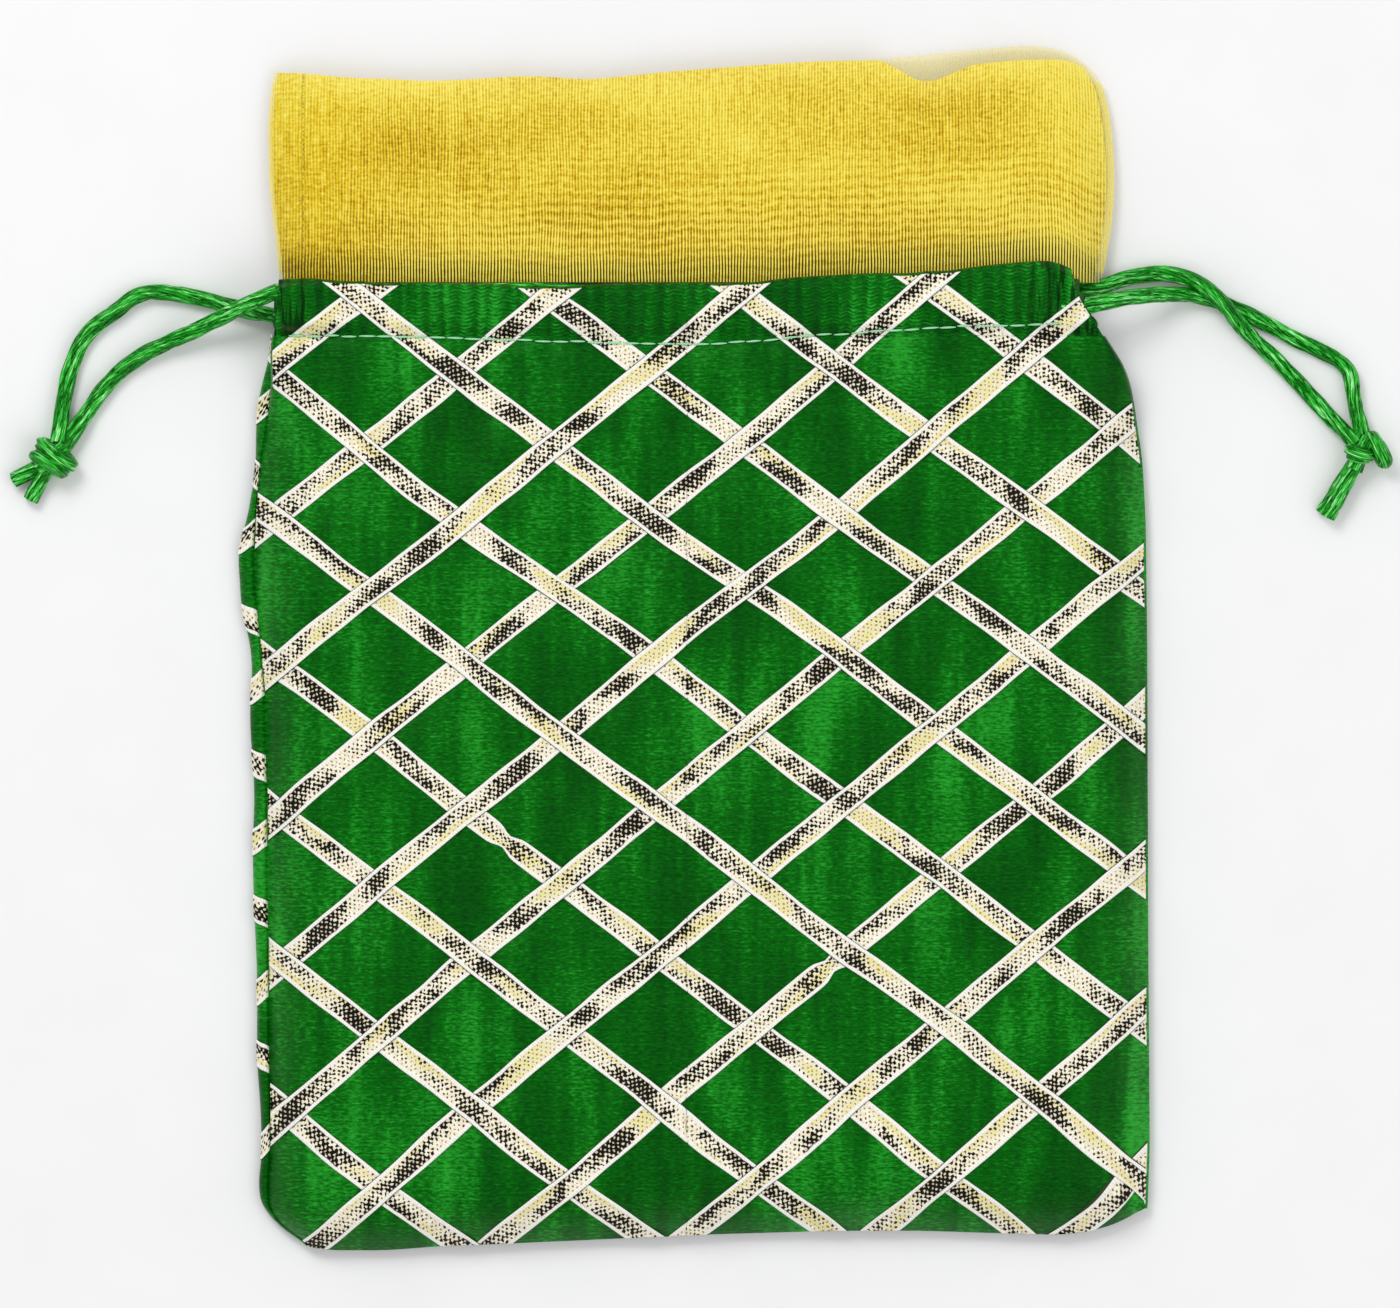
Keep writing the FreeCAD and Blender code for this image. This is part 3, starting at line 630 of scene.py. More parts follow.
def grid_piece(name, points, coat, node, turned=False, uv=None, smooth=False):
    """One piece from a grid of points. Its cloth lies along the points' own x and y, unless uv is given."""
    normals = None
    if smooth:
        normals = np.cross(np.gradient(points, axis=1), np.gradient(points, axis=0)).reshape(-1, 3)
        normals = unit(normals) * (-1 if turned else 1)
    part = grid_part(points, points[:, :, :2] / 10 if uv is None else uv, turned=turned)
    return slot_piece(name, part, coat, node, normals)


def joined(name, parts, coat, node=None):
    """One piece from several (points, faces, uv) parts."""
    vertices, faces, uv, start = [], [], [], 0
    for points, part_faces, part_uv in parts:
        vertices.append(points)
        uv.append(part_uv)
        faces += [tuple(start + corner for corner in face) for face in part_faces]
        start += len(points)
    return slot_piece(name, (np.concatenate(vertices), faces, np.concatenate(uv)), coat, node)


# ---- baking each piece's place

def outward(side):
    return -1 if side == "left" else 1


def gather(piece):
    """Bakes the piece's place into its mesh."""
    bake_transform(piece)


def gather_panel(piece):
    """Bakes the place of a panel piece into its mesh, as gather does."""
    gather(piece)


def gather_casing(piece):
    """Bakes the place of a casing piece into its mesh, as gather does."""
    gather(piece)


def gather_collar(piece):
    """Bakes the place of a collar piece into its mesh, as gather does."""
    gather(piece)


# ---- front silk


def spread(start, end, step):
    """Shares from 0 to 1, about a step apart over the distance from start to end."""
    return np.linspace(0, 1, max(2, int(abs(end - start) / step) + 1))


def half_columns(side, y, step=1.0):
    """x of the columns of one half of the cloth, for each height in y, left to right."""
    if side == "left":
        return left_edge(y) + (MIDDLE - left_edge(y)) * spread(LEFT_SIDE, MIDDLE, step)
    return MIDDLE + (right_edge(y) - MIDDLE) * spread(MIDDLE, RIGHT_SIDE, step)


def warped_grid(side, low, high, rows, step):
    """Grid of x and y between two edges, which are functions of x, over one half of the cloth."""
    share = np.linspace(0, 1, rows)[:, None]
    x = half_columns(side, np.full((rows, 1), SEWN), step)
    for _ in range(3):
        y = low(x) + (high(x) - low(x)) * share
        x = half_columns(side, y, step)
    return x, y


def with_side_wall(points, side, foot):
    """Adds the columns that turn down from the silk's edge to the back."""
    edge = points[:, 0] if side == "left" else points[:, -1]
    wall = []
    for share in (0.3, 0.65, 1.0):
        column = edge.copy()
        column[:, 0] += outward(side) * 0.6 * math.sin(math.pi * share)
        column[:, 2] += (foot - column[:, 2]) * share
        wall.append(column)
    if side == "left":
        return np.concatenate([np.stack(wall[::-1], 1), points], 1)
    return np.concatenate([points, np.stack(wall, 1)], 1)


def make_front_panel(side):
    """The front silk, from the bottom to the sewn line, with its side turned down."""
    x, y = warped_grid(side, bottom_edge, sewn_line, 190, 1.0)
    points = with_side_wall(grid(x, y, front_height(x, y)), side, BACK_HIGH[2] + 0.4)
    piece = grid_piece(f"front_panel_{side}", points, SILK, "front_panel", smooth=True)
    gather_panel(piece)


def folded_over(points, depth, turns, drops):
    """Adds the rows that fold over a channel's top edge, which is the last row, and hang down inside it."""
    edge_x, edge_y, edge_z = (points[-1:, :, axis] for axis in range(3))
    rows = [points]
    for turn in np.radians(turns):
        rows.append(grid(edge_x, edge_y + 0.8 * math.sin(turn), edge_z + depth * (1 - math.cos(turn)) / 2))
    for drop in drops:
        rows.append(grid(edge_x, edge_y - drop, edge_z + depth))
    return np.concatenate(rows, 0)


def make_front_casing(side):
    """The front channel: its face, the fold along its top and its lining."""
    x, y = warped_grid(side, sewn_line, casing_edge, 24, 0.6)
    face = grid(x, y, front_height(x, y))
    depth = CASING_LOW[2] + 0.3 - face[-1:, :, 2]
    points = folded_over(face, depth, (35, 70, 110, 145, 180), (2, 6, 10.5))
    piece = grid_piece(f"front_casing_{side}", points, CASING_SILK, "front_casing", smooth=True)
    gather_casing(piece)


# ---- ribbons

RIBBON_HALF_SECTION = [(0.35, 0.27), (0.70, 0.22), (0.86, 0.36), (0.98, 0.26), (1.05, 0.02)]
SECTION = np.array([(-place, rise) for place, rise in RIBBON_HALF_SECTION[::-1]]
                   + [(0.0, 0.29)] + RIBBON_HALF_SECTION)       # place across, in half widths, and rise
RIBBON_LAY = 37.3       # centimetres of pattern from one ribbon to the next


def weave_lift(family, number, along):
    """How far a ribbon rises over the ribbons that it crosses."""
    other = "falling" if family == "rising" else "rising"
    lift = np.zeros_like(along)
    own_along, own_across = axes_of(family)
    other_across = axes_of(other)[1]
    for other_number in FAMILIES[other][1]:
        rising, falling = (number, other_number) if family == "rising" else (other_number, number)
        if rising_on_top(rising, falling) != (family == "rising"):
            continue
        ahead = PITCH * (other_number - number * (own_across @ other_across)) / (own_along @ other_across)
        lift += WEAVE_LIFT * ease((6.2 - np.abs(along - ahead)) / 3.4)
    return lift


def ribbon_points(family, number, height, side, low, high, mirrored=False):
    """Grid of points of one ribbon, kept within one half of the cloth and between two heights."""
    along_axis, across_axis = axes_of(family)
    along = np.arange(-190, 190, 1.1)[:, None]
    rng = np.random.default_rng(40 + number + (50 if family == "rising" else 0))
    drift = 0.35 * field(along, 0, 60, rng.integers(999)) + 0.12 * field(along, 0, 14, 9)
    half = RIBBON_HALF * (1 + 0.05 * field(along, 0, 18, rng.integers(999)))
    if (family, number) in SPLICES:
        half = half * (1 - 0.4 * hump(along - SPLICES[family, number], 1.8))
    across = number * PITCH + drift + SECTION[:, 0] * half
    x = CROSSING[0] + along * along_axis[0] + across * across_axis[0]
    y = CROSSING[1] + along * along_axis[1] + across * across_axis[1]
    y = y - sag(x, y)
    kept_y = np.clip(y, np.maximum(low(x), -200), high(x))
    outer = (left_edge(kept_y), MIDDLE) if side == "left" else (MIDDLE, right_edge(kept_y))
    kept_x = np.clip(x, *outer)
    kept_y = np.clip(y, low(kept_x), high(kept_x))
    inside = (np.abs(kept_x - x) < 1e-6) & (np.abs(kept_y - y) < 1e-6)
    rows = np.flatnonzero(inside.any(1))
    if len(rows) < 3:
        return None
    rows = np.arange(max(rows[0] - 1, 0), min(rows[-1] + 2, len(along)))
    kept_x, kept_y = kept_x[rows], kept_y[rows]
    lift = weave_lift(family, number, along[rows]) + SECTION[:, 1]
    z = height(kept_x, kept_y) + (-lift if mirrored else lift)
    offset = grid(kept_x, kept_y + sag(kept_x, kept_y)) - CROSSING
    u = offset @ along_axis / 10 + RIBBON_LAY * number
    v = (offset @ across_axis - number * PITCH - drift[rows]) / half[rows]
    return grid(kept_x, kept_y, z), grid(u, v)


def make_front_ribbons(side):
    """Each ribbon of the front lattice, on one half of the sack."""
    for family, (_, numbers) in FAMILIES.items():
        for place, number in enumerate(numbers, 1):
            made = ribbon_points(family, number, front_height, side, bottom_edge, sewn_line)
            if made is None:
                continue
            name = f"front_{family}_ribbon_{place:02d}"
            piece = grid_piece(f"{name}_{side}", made[0], RIBBON, name, uv=made[1])
            gather_panel(piece)


def ribbon_group(families, *where, mirrored=False):
    """Parts of the ribbons that lie on one piece of cloth."""
    parts = []
    for family in families:
        for number in FAMILIES[family][1]:
            made = ribbon_points(family, number, *where, mirrored=mirrored)
            if made is not None:
                parts.append(grid_part(*made, turned=mirrored))
    return parts


def make_casing_ribbons(side):
    """The ends of the front ribbons, over the casing and round its edge."""
    parts = ribbon_group(FAMILIES, front_height, side, sewn_line, lambda x: casing_edge(x) + 0.2)
    gather_casing(joined(f"front_casing_ribbons_{side}", parts, RIBBON))


def under_back(x, y):
    """Height of the ribbons on the outside of the back, which faces the table."""
    return 0 * x + 0 * y + BACK_LOW[2] - 0.05


def make_back_ribbons(side):
    """The lattice on the outside of the back."""
    for family in FAMILIES:
        parts = ribbon_group([family], under_back, side, lambda x: bottom_edge(x) + 0.6, sewn_line,
                             mirrored=True)
        gather_panel(joined(f"back_{family}_ribbons_{side}", parts, RIBBON, f"back_{family}_ribbons"))


# ---- stitches

STITCH_PITCH = 3.5
STITCH_LENGTH = 3.15
THREAD_RADIUS = 0.22


def make_stitches(layer, side):
    """A row of separate stitches along the sewn line, on the front or on the back."""
    parts = []
    rng = np.random.default_rng(11)
    around = np.linspace(0, TAU, 8, endpoint=False)
    thick = THREAD_RADIUS * np.sqrt(np.sin(math.pi * np.linspace(0.04, 0.96, 7)[:, None]))
    for start in np.arange(left_edge(SEWN) + 3, right_edge(SEWN) - 9, STITCH_PITCH):
        length = STITCH_LENGTH + rng.uniform(-0.2, 0.2)
        if (start + length / 2 < MIDDLE) != (side == "left"):
            continue
        lengthwise = np.linspace(0, length, 7)[:, None]
        x = start + lengthwise
        y = STITCH_LINE(x) + rng.uniform(-0.12, 0.12)
        z = BACK_LOW[2] - 0.25
        if layer == "front":
            z = front_height(x, y) + 0.25 + 0.55 * under_ribbon(x, y)
        points = grid(x, y + thick * np.cos(around), z + thick * np.sin(around) * 0.8)
        parts.append(grid_part(points, grid(lengthwise / 10, around / TAU), closed=True))
    gather_casing(joined(f"{layer}_stitches_{side}", parts, THREAD, f"{layer}_casing_stitches"))


# ---- back silk and seams

SEAM_INSET = np.array([0.5, 2, 4, 5.6, 5.9, 5.6, 4, 2])          # across a turned seam allowance
SEAM_LIFT = np.array([0.35, 0.4, 0.35, 0.3, 0.5, 0.75, 0.8, 0.75])


def lip_height(share):
    """Height of the rolled lip, from the groove beside the front silk, at 0, to its outer edge, at 1."""
    roll = np.sqrt(np.clip(1 - share ** 2.4, 0, 1))
    return BACK_LOW[2] + 0.5 + 2.5 * roll * (0.25 + 0.75 * ease(share / 0.35))


def make_back_panel(side):
    """The back silk. On the left it rolls round the edge and shows as a narrow lip."""
    up, out = np.linspace(0, 1, 150)[:, None], np.linspace(0, 1, 34)
    x = np.full((150, 34), MIDDLE)
    for _ in range(3):
        y = bottom_edge(x) + 0.3 + (SEWN - bottom_edge(x) - 0.3) * up
        outer = lip_edge(y) if side == "left" else right_edge(y) - 0.4
        x = MIDDLE + (outer - MIDDLE) * out
    columns = [grid(x, y, back_height(x, y))]
    edge_x, edge_y = x[:, -1:], y[:, -1:]
    if side == "left":
        for back in (1, 0.97, 0.9, 0.8, 0.65, 0.5, 0.35, 0.2, 0.08, -0.1):
            lip_x = edge_x + (left_edge(edge_y) + 0.3 - edge_x) * (1 - back)
            wrinkle = 0.12 * field(lip_x, edge_y, 5, 61, (0.6, 1))
            columns.append(grid(lip_x, edge_y, lip_height(max(back, 0)) + wrinkle))
    else:
        for inward, rise in ((0.1, 0.3), (0.0, 0.7), (0.3, 1.1)):
            columns.append(grid(edge_x - inward, edge_y, BACK_LOW[2] + 0.15 + rise))
    points = np.concatenate(columns, 1)
    piece = grid_piece(f"back_panel_{side}", points, SILK, "back_panel", side == "right")
    gather_panel(piece)


def make_lip_ribbons():
    """The ribbons' ends that wrap round the lip on the left."""
    parts = []
    for family in FAMILIES:
        along_axis, across_axis = axes_of(family)
        slope = along_axis[1] / along_axis[0]
        for number in FAMILIES[family][1]:
            start = CROSSING + across_axis * number * PITCH
            meets = start[1] + slope * (LEFT_SIDE - start[0])
            meets -= sag(LEFT_SIDE, meets) + 4 * ease((meets - 42) / 8)
            if not BACK_LOW[1] + 8 < meets < SEWN - 6:
                continue
            share = np.linspace(-0.05, 0.99, 9)[None, :]
            reach = np.clip(share, 0, 1)
            skew = slope * ((-0.2 if slope > 0 else 7.0) + 2.6 * reach)
            y = meets - skew + SECTION[:, 0:1] * RIBBON_HALF * 1.15 + 0.15 * np.sin(share * 6)
            x = left_edge(y) + 0.3 + (lip_edge(y) - 0.15 - left_edge(y) - 0.3) * share
            z = lip_height(reach) + SECTION[:, 1:2] * 0.8
            u = number * RIBBON_LAY + 20 + share * 0.35
            parts.append(grid_part(grid(x, y, z), grid(u, SECTION[:, 0:1])))
    gather_panel(joined("left_edge_ribbon_ends", parts, RIBBON))


def make_back_casing(side):
    """The back channel: its face on the table, the fold along its top and its lining."""
    x, y = warped_grid(side, sewn_line, lambda x: CASING_EDGE(x) - 1, 8, 2.5)
    face = grid(x, y, REAR_CASING_LOW[2] + 0.2 + 0.15 * field(x, y, 8, 12, (1, 3)))
    depth = REAR_CASING_HIGH[2] - REAR_CASING_LOW[2] - 0.6
    points = folded_over(face, depth, (45, 90, 135, 180), (4, 10))
    piece = grid_piece(f"back_casing_{side}", points, CASING_SILK, "back_casing", turned=True, smooth=True)
    gather_casing(piece)


def make_side_seam(side):
    """The turned seam allowance inside a side of the sack."""
    y = np.linspace(BACK_LOW[1] + 9, SEWN - 1, 90)[:, None]
    x = silk_edge(side, y) - outward(side) * (SEAM_INSET + 0.25 * field(y, 0, 9, 21) * (SEAM_INSET > 3))
    points = grid(x, y, BACK_HIGH[2] - 0.2 + SEAM_LIFT)
    node = f"{side}_side_seam"
    piece = grid_piece(f"{node}_allowance", points, SILK, node, side == "left")
    gather_panel(piece)


def make_bottom_seam():
    """The turned seam allowance inside the bottom of the sack."""
    x = np.linspace(BACK_LOW[0] + 14, BACK_HIGH[0] - 12, 90)
    inset, lift = SEAM_INSET[:, None], SEAM_LIFT[:, None]
    y = bottom_edge(x) + inset + 0.25 * field(x, 0, 9, 22) * (inset > 3)
    points = grid(x, y, BACK_HIGH[2] - 0.2 + lift)
    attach(grid_piece("bottom_seam_allowance", points, SILK, "bottom_seam"), "bag")


# ---- collar

def make_collar_layer(side, layer):
    """One layer of the sheer collar, on one half of the sack."""
    top = COLLAR_TOP[layer]
    share = spread(0, HALF_MOUTH, 1.6)
    rows = np.linspace(0, 1, 34)[:, None]
    y = COLLAR_FOOT - 2 + 42 * rows + 0 * share
    for _ in range(4):
        x = MIDDLE + (collar_edge(side, layer, y) - MIDDLE) * share
        y = COLLAR_FOOT - 2 + (top(x) - COLLAR_FOOT + 2) * rows
    turned = (side == "left") == (layer == "front")
    points = grid(x, y, collar_height(layer, x, y))
    uv = grid(x, y - CASING_EDGE(x)) / 10
    name = f"{layer}_collar"
    piece = grid_piece(f"{name}_{side}", points, TISSUE[layer], name, turned, uv)
    gather_collar(piece)


def make_collar_seam(side):
    """The narrow doubled seam down a side of the collar."""
    y = np.linspace(COLLAR_FOOT, 113, 40)[:, None]
    inset = np.array([0.0, 0.8, 1.6, 1.6, 0.8, 0.0])
    lift = np.array([-0.15, -0.2, -0.1, 0.1, 0.2, 0.15])
    x = collar_edge(side, "back", y) - outward(side) * (inset - 0.15)
    points = grid(x, y, collar_side_height(y) + lift)
    piece = grid_piece(f"{side}_collar_side_seam", points, TISSUE["back"], f"{side}_collar_seam",
                       side == "left")
    gather_collar(piece)


# ---- cords

CORD_DIAMETER = 2.8
CORD_RADIUS = CORD_DIAMETER / 2
# Each strand's length in metres, and the points that steer its route from the hem to the knot.
STRANDS = {
    "left_front_strand": (0.0574, [
        (-82.8, 70.9, 11.3), (-88, 69, 10.4), (-95, 65.4, 6.4), (-103, 61.8, 2.9), (-110.5, 58.6, 1.7),
        (-117, 53.4, 1.5), (-122, 46.2, 1.6), (-126.2, 39.4, 3.2)]),
    "left_back_strand": (0.0649, [
        (-82.8, 66.1, 2.4), (-89.5, 67.2, 1.9), (-97.5, 69.6, 1.5), (-105, 71, 1.5), (-110.8, 71, 1.6),
        (-115.5, 67.2, 1.6), (-121.5, 63.2, 1.5), (-124.5, 56.8, 1.5), (-126.2, 49, 1.6),
        (-127.1, 40.8, 3.2)]),
    "right_back_strand": (0.0685, [
        (75.3, 71.1, 2.4), (80.3, 71.5, 2.4), (84.6, 73.3, 2), (88.6, 74.3, 1.8), (93.2, 74.9, 1.7),
        (98.7, 74, 2.8), (103, 71.3, 4.8), (107, 67, 4.8), (110.4, 62.8, 2.3), (115.8, 58, 1.5),
        (121.6, 52, 1.6), (127.4, 45.6, 1.9), (132.2, 40.6, 3.2)]),
    "right_front_strand": (0.0707, [
        (75.3, 67, 11.3), (80, 68.4, 11.2), (85.5, 69.6, 10.3), (91.5, 70.4, 6.4), (98, 70.6, 2.8),
        (104.6, 69.4, 1.5), (112, 66, 1.5), (121.5, 60.9, 1.5), (131.2, 56.6, 1.6), (131.9, 48.6, 1.7),
        (133.6, 41.8, 3.1)])}
# Each knot's centre, its heading in degrees, the tips of its cut ends, and its wraps: how far along the
# heading, lean in degrees, radius, stretch across, and how far aside.
KNOTS = {
    "left": ((-128.4, 37.6, 3.75), 225, ((-136, 33.4, 1.5), (-132.6, 29.6, 1.5)),
             ((-1.3, 18, 2.2, 1.6, 0), (1.1, 26, 2.2, 1.4, 0.4))),
    "right": ((133, 38.6, 3.75), 246, ((125.6, 26.8, 1.5), (126.5, 26.1, 2.6)),
              ((-0.2, 24, 2.2, 0.8, -0.4), (-3.6, -24, 1.6, 1.45, 3.2)))}


def nurbs_line(route):
    """Points along the smooth curve that a route's points steer, evenly spaced."""
    curve = bpy.data.curves.new("route", "CURVE")
    curve.dimensions = "3D"
    spline = curve.splines.new("NURBS")
    spline.points.add(len(route) - 1)
    for point, place in zip(spline.points, route):
        point.co = (*(value * MM for value in place), 1)
    spline.order_u = 3
    spline.use_endpoint_u = True
    spline.resolution_u = 24
    holder = bpy.data.objects.new("route", curve)
    mesh = bpy.data.meshes.new_from_object(holder)
    line = np.array([vertex.co for vertex in mesh.vertices]) / MM
    bpy.data.objects.remove(holder)
    bpy.data.meshes.remove(mesh)
    return evenly(line, 0.45)


def lengths_along(line):
    return np.concatenate([[0], np.cumsum(np.linalg.norm(np.diff(line, axis=0), axis=1))])


def evenly(line, step):
    """The same line with its points step apart."""
    reach = lengths_along(line)
    places = np.linspace(0, reach[-1], max(4, int(reach[-1] / step)))
    return np.stack([np.interp(places, reach, line[:, axis]) for axis in range(3)], 1)


def frames_along(line, closed=False):
    """Two unit vectors across the line at each point, without sudden turns."""
    ahead = unit(np.roll(line, -1, 0) - np.roll(line, 1, 0) if closed else np.gradient(line, axis=0))
    side = np.cross(ahead[0], (0, 0, 1))
    sides = []
    for direction in ahead:
        side = unit(side - (side @ direction) * direction)
        sides.append(side)
    sides = np.array(sides)
    return sides, np.cross(ahead, sides)


# Twist, depth and width of each crease of a cord. How far ahead and how wide each ring of its cut end is.
CREASES = ((0.08, 0.38, 0.30), (0.07, 0.30, 0.24), (0.09, 0.26, 0.22), (0.08, 0.20, 0.18))
CUT_RINGS = ((0.15, 0.92), (0.05, 0.72), (-0.9, 0.5), (-1.4, 0.1))


def folded_radius(along, around, seed, radius=CORD_RADIUS):
    """Radius of a cord made of a folded satin strip, with creases that wind slowly round it."""
    rng = np.random.default_rng(seed)
    value = np.full(np.broadcast(along, around).shape, 1.14)
    for turns, depth, width in CREASES:
        start = rng.uniform(0, TAU)
        wander = 0.5 * field(along, 0, 12, rng.integers(999))
        off = (around - start - along * turns + wander + math.pi) % TAU - math.pi
        value = value - depth * hump(off, width)
    value = value + 0.05 * field(along, 0, 7, rng.integers(999))
    value = value + 0.035 * np.sin(5 * around + along * 0.9)
    return value * radius


def tube_part(line, seed, closed=False, hollow_end=False, sides=40, radius=CORD_RADIUS):
    """Points, faces and UV of a cord along a line. A hollow end is cut open."""
    side, up = frames_along(line, closed)
    along = lengths_along(line)[:, None]
    around = np.linspace(0, TAU, sides, endpoint=False)[None, :]
    thick = folded_radius(along, around, seed, radius)[..., None]
    ring = np.cos(around)[..., None] * side[:, None] + np.sin(around)[..., None] * up[:, None]
    points = line[:, None] + ring * thick
    points[..., 2] = np.maximum(points[..., 2], 0.05)
    uv = grid(along / 10, around / TAU)
    if closed:
        points = np.concatenate([points, points[:1]], 0)
        uv = np.concatenate([uv, uv[-1:] + 0.02], 0)
    if hollow_end:
        ahead = unit(line[-1] - line[-2])
        rims = [line[-1] + ahead * push + ring[-1] * thick[-1] * size for push, size in CUT_RINGS]
        points = np.concatenate([points, np.stack(rims)], 0)
        uv = np.concatenate([uv, np.repeat(uv[-1:], len(rims), 0)], 0)
    return grid_part(points, uv, closed=True, turned=True)


def cord_piece(name, parts, node, side):
    """A piece of a drawcord, in the place of its CAD node."""
    piece = joined(name, parts, CORD, node)
    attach(piece, f"{side}_cord")
    return piece


def make_tail(side, number, centre, tip, seed):
    """A cut cord end that fans out of the knot."""
    centre, tip = np.array(centre), np.array(tip)
    middle = centre + (tip - centre) * 0.55
    middle[2] = tip[2] + 0.5
    line = nurbs_line([centre, middle, tip - (tip - middle) * 0.3, tip])
    tail = tube_part(line, seed, hollow_end=True)
    return cord_piece(f"{side}_cut_end_{number}", [tail], f"{side}_cord_tail_{number}", side)


def knot_wrap(centre, axis, wrap, seed):
    """One turn of cord round the knot, tilted about the upright axis."""
    shift, lean, turn, stretch, aside = wrap
    angle = math.atan2(axis[1], axis[0]) + math.radians(lean)
    across = np.array((-math.sin(angle), math.cos(angle), 0))
    across *= math.copysign(1, across[0])
    phase = np.linspace(0, TAU, 60, endpoint=False)[:, None]
    middle = np.array(centre) + np.array(axis) * shift + across * aside
    skew = np.array(axis) * 0.6 * np.sin(phase + seed)
    upright = np.array((0, 0, 1)) * turn * np.sin(phase)
    line = middle + across * turn * stretch * np.cos(phase) + upright + skew
    return tube_part(line, seed, closed=True, radius=CORD_RADIUS + 0.02)


def make_knot(side, centre, heading, wraps):
    """A tight overhand knot in both strands."""
    angle = math.radians(heading)
    axis = (math.cos(angle), math.sin(angle), 0)
    parts = [knot_wrap(centre, axis, wrap, 70 + number) for number, wrap in enumerate(wraps)]
    core = np.array(centre) + np.outer(np.linspace(-3.8, 3.4, 24), axis)
    parts.append(tube_part(core, 73, radius=1.7))
    return cord_piece(f"{side}_overhand_knot", parts, f"{side}_knot", side)


def make_strand(name, side, seed):
    """One free strand, from inside the hem to the knot."""
    length, route = STRANDS[name]
    line = nurbs_line(route)
    piece = cord_piece(name + "_satin", [tube_part(line, seed)], name, side)


def make_hidden_run(side, seed):
    """The part of a drawcord inside the casings: in through one, round the far end and out of the other.

    It starts inside the strands and is a little thinner, so that it stays hidden until it is drawn out.
    """
    low, high = cad(f"{side}_channel_cord")
    strands = [nurbs_line(STRANDS[f"{side}_{layer}_strand"][1]) for layer in ("front", "back")]
    front, back = (strand[0] for strand in strands)
    inward = -outward(side)
    reach = np.linalg.norm(front - back) / 2
    turn_x = (high[0] if side == "left" else low[0]) - inward * (CORD_RADIUS + reach)
    length = abs(turn_x - front[0])
    inside = np.linspace(0, length, int(length / 2))
    dip = ease(inside / 10) * 0.5
    lines = []
    for start, sink, phase in ((front, dip, seed), (back, -dip, seed + 2)):
        sway = ease(inside / 10) * ease((length - inside) / 10) * 0.3 * np.sin(inside / 8 + phase)
        lines.append(np.stack([start[0] + inward * inside, start[1] + sway, start[2] - sink], 1))
    ends = lines[0][-1], lines[1][-1]
    middle, half = (ends[0] + ends[1]) / 2, (ends[0] - ends[1]) / 2
    turn = np.linspace(0, math.pi, 17)[1:-1, None]
    bend = middle + np.cos(turn) * half + np.sin(turn) * reach * np.array((inward, 0, 0))
    laps = [strand[1:12] for strand in strands]
    line = evenly(np.concatenate([laps[0][::-1], lines[0], bend, lines[1][::-1], laps[1]]), 1.0)
    run = tube_part(line, seed, radius=CORD_RADIUS * 0.94)
    cord_piece(f"{side}_hidden_run_satin", [run], f"{side}_channel_cord", side)


def make_drawcord(side, seed):
    """A knot, its two cut ends, the two strands that it joins and the run between them."""
    centre, heading, tips, wraps = KNOTS[side]
    pieces = [make_knot(side, centre, heading, wraps)]
    for number, tip in enumerate(tips, 1):
        pieces.append(make_tail(side, number, centre, tip, seed + number))
    for number, name in enumerate((f"{side}_front_strand", f"{side}_back_strand")):
        make_strand(name, side, seed + 10 + number)
    make_hidden_run(side, seed + 20)


THROAT = ((0.6, 0.98), (3, 0.8), (6, 0.55), (8, 0.2))       # depth and size of each ring inside a hem


def make_exit(side):
    """The puckered hem round the hole that the drawcord leaves by."""
    phase = np.linspace(0, TAU, 90, endpoint=False)[:, None]
    middle = (EXIT_LOW + EXIT_HIGH) / 2
    half = (EXIT_HIGH - EXIT_LOW) / 2
    turned = [np.abs(wave) ** 0.7 * np.sign(wave) for wave in (np.cos(phase), np.sin(phase))]
    pucker = 0.25 * np.sin(phase * 9) + 0.2 * np.sin(phase * 5 + 1)
    y = middle[1] - 0.6 + (half[1] - 1.4) * turned[0]
    z = middle[2] - 0.2 + (half[2] - 1.1) * turned[1]
    front_edge = silk_edge(side, y)
    back_edge = (EXIT_LOW[0] if side == "left" else EXIT_HIGH[0]) - outward(side) * 2.5
    x = back_edge + (front_edge - back_edge) * ease(0.5 + turned[1] / 2)
    x = x - outward(side) * (0.4 - pucker * 0.6)
    line = np.concatenate([x, y, z], 1)
    hem = tube_part(line, 91, closed=True, radius=0.85, sides=14)
    rings = []
    for depth, size in THROAT:
        ring = line.copy()
        ring[:, 0] -= outward(side) * depth
        ring[:, 1:] = middle[1:] + (line[:, 1:] - middle[1:]) * size
        rings.append(ring)
    throat = np.stack(rings)
    parts = [hem, grid_part(throat, throat[:, :, 1:] / 10, closed=True, turned=(side == "left"))]
    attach(joined(f"{side}_cord_hem", parts, CASING_SILK, f"{side}_cord_exit"), f"{side}_mouth")


# ---- the sack

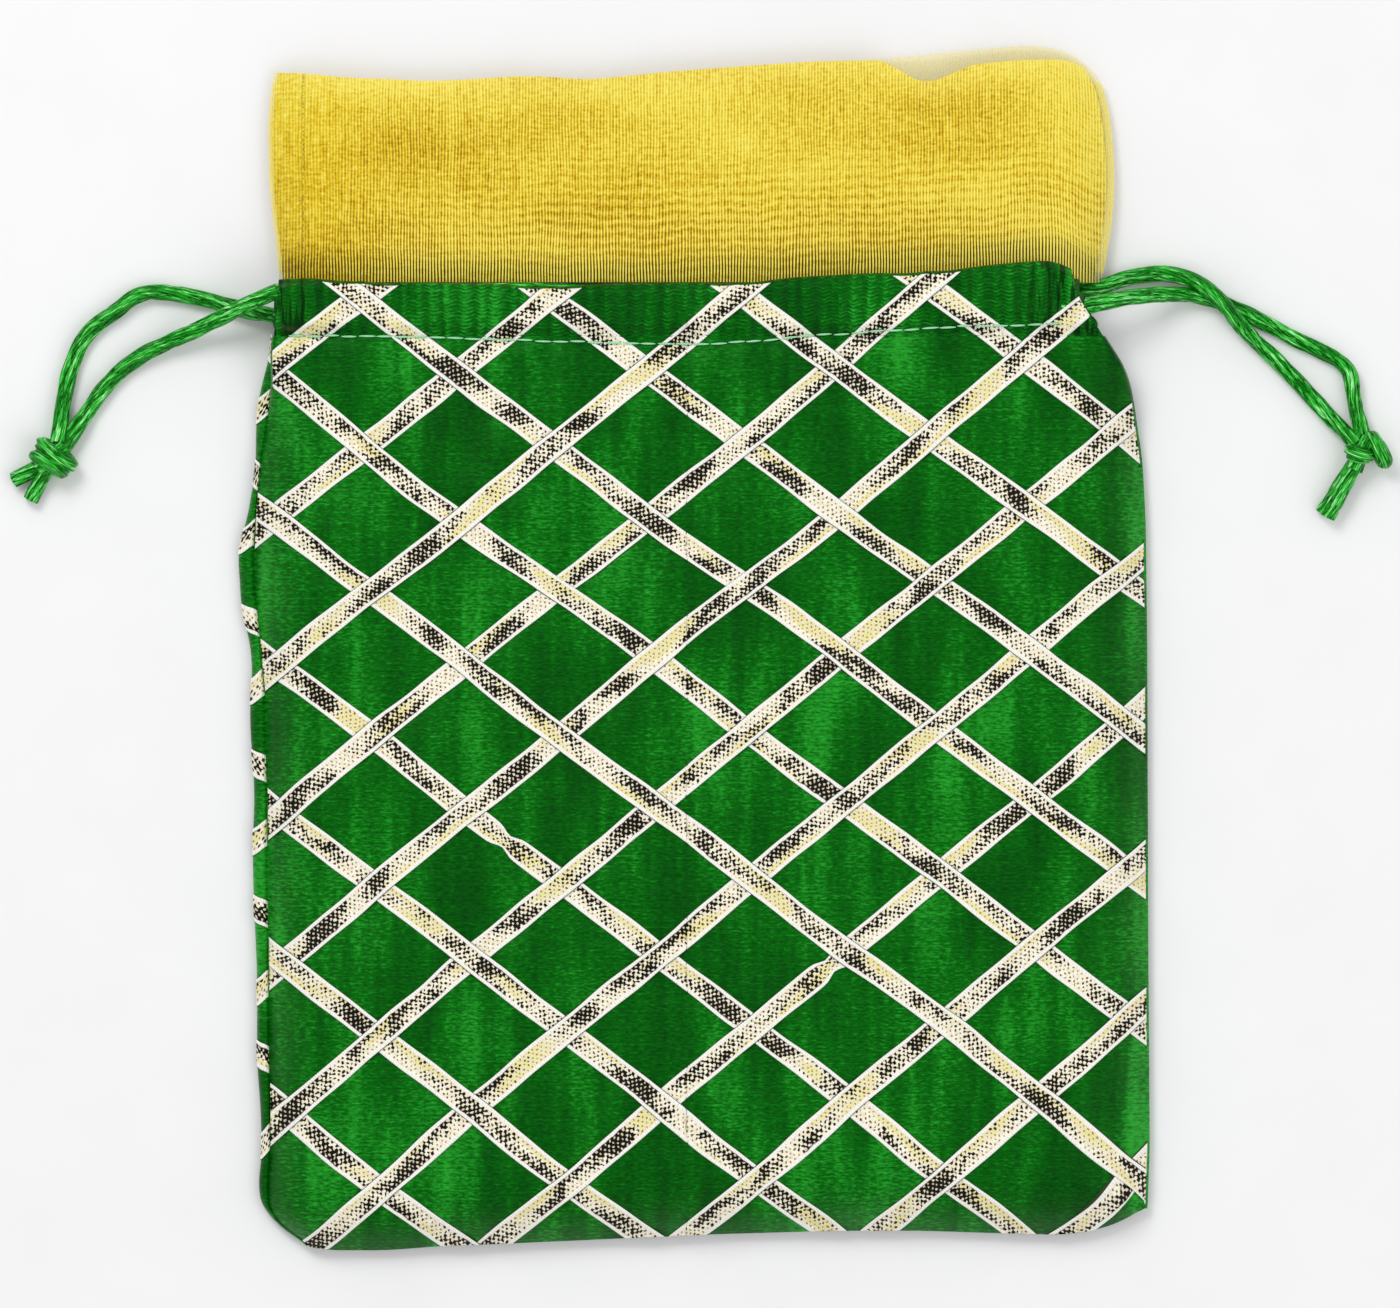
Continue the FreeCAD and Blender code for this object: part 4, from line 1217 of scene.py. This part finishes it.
def make_sack():
    """Every piece of the sack. The order of the makers keeps each random draw the same."""
    for side in ("left", "right"):
        make_front_panel(side)
        make_front_casing(side)
        make_back_panel(side)
        make_back_casing(side)
        make_front_ribbons(side)
        make_casing_ribbons(side)
        make_back_ribbons(side)
        make_stitches("front", side)
        make_stitches("back", side)
        make_side_seam(side)
        make_collar_layer(side, "front")
        make_collar_layer(side, "back")
        make_collar_seam(side)
        make_exit(side)
    make_lip_ribbons()
    make_bottom_seam()
    make_drawcord("left", 101)
    make_drawcord("right", 131)


# ---- floor, light and camera

FLOOR_REACH = 3000
VIEW_WIDTH = 0.28           # metres of table across the picture
LAMPS = (("key", (-0.5, 0.8, 1.2), 0.6, 9.0), ("fill", (0.9, -0.5, 1.2), 1.2, 6.0))    # place, size and power


def make_floor():
    """A plain pale tabletop."""
    corners = [(x * FLOOR_REACH, y * FLOOR_REACH, 0) for x, y in ((-1, -1), (1, -1), (1, 1), (-1, 1))]
    uv = [(x / 10, y / 10) for x, y, _ in corners]
    mesh_piece("floor", corners, [(0, 1, 2, 3)], uv, floor_material())


def make_light():
    """A white surrounding with two soft lamps."""
    world = bpy.data.worlds.new("studio")
    world.use_nodes = True
    background = world.node_tree.nodes["Background"]
    background.inputs["Color"].default_value = (1.0, 1.0, 1.0, 1)
    background.inputs["Strength"].default_value = 0.62
    bpy.context.scene.world = world
    for name, place, size, power in LAMPS:
        lamp = bpy.data.lights.new(name, "AREA")
        lamp.size = size
        lamp.energy = power
        holder = shown(name, lamp)
        holder.location = place
        holder.rotation_euler = (-Vector(place)).to_track_quat("-Z", "Y").to_euler()


def make_camera():
    """Looks straight down on the middle of the sack."""
    low, high = CAD_BOX
    camera = shown("camera", bpy.data.cameras.new("camera"))
    camera.data.sensor_width = 36
    camera.data.lens = 300
    distance = camera.data.lens / camera.data.sensor_width * VIEW_WIDTH
    camera.location = ((low.x + high.x) / 2, (low.y + high.y) / 2 - 0.0013, distance)
    camera.data.clip_end = 20
    bpy.context.scene.camera = camera


make_camera()
make_sack()
make_floor()
make_light()
bpy.context.scene.view_settings.view_transform = "Standard"
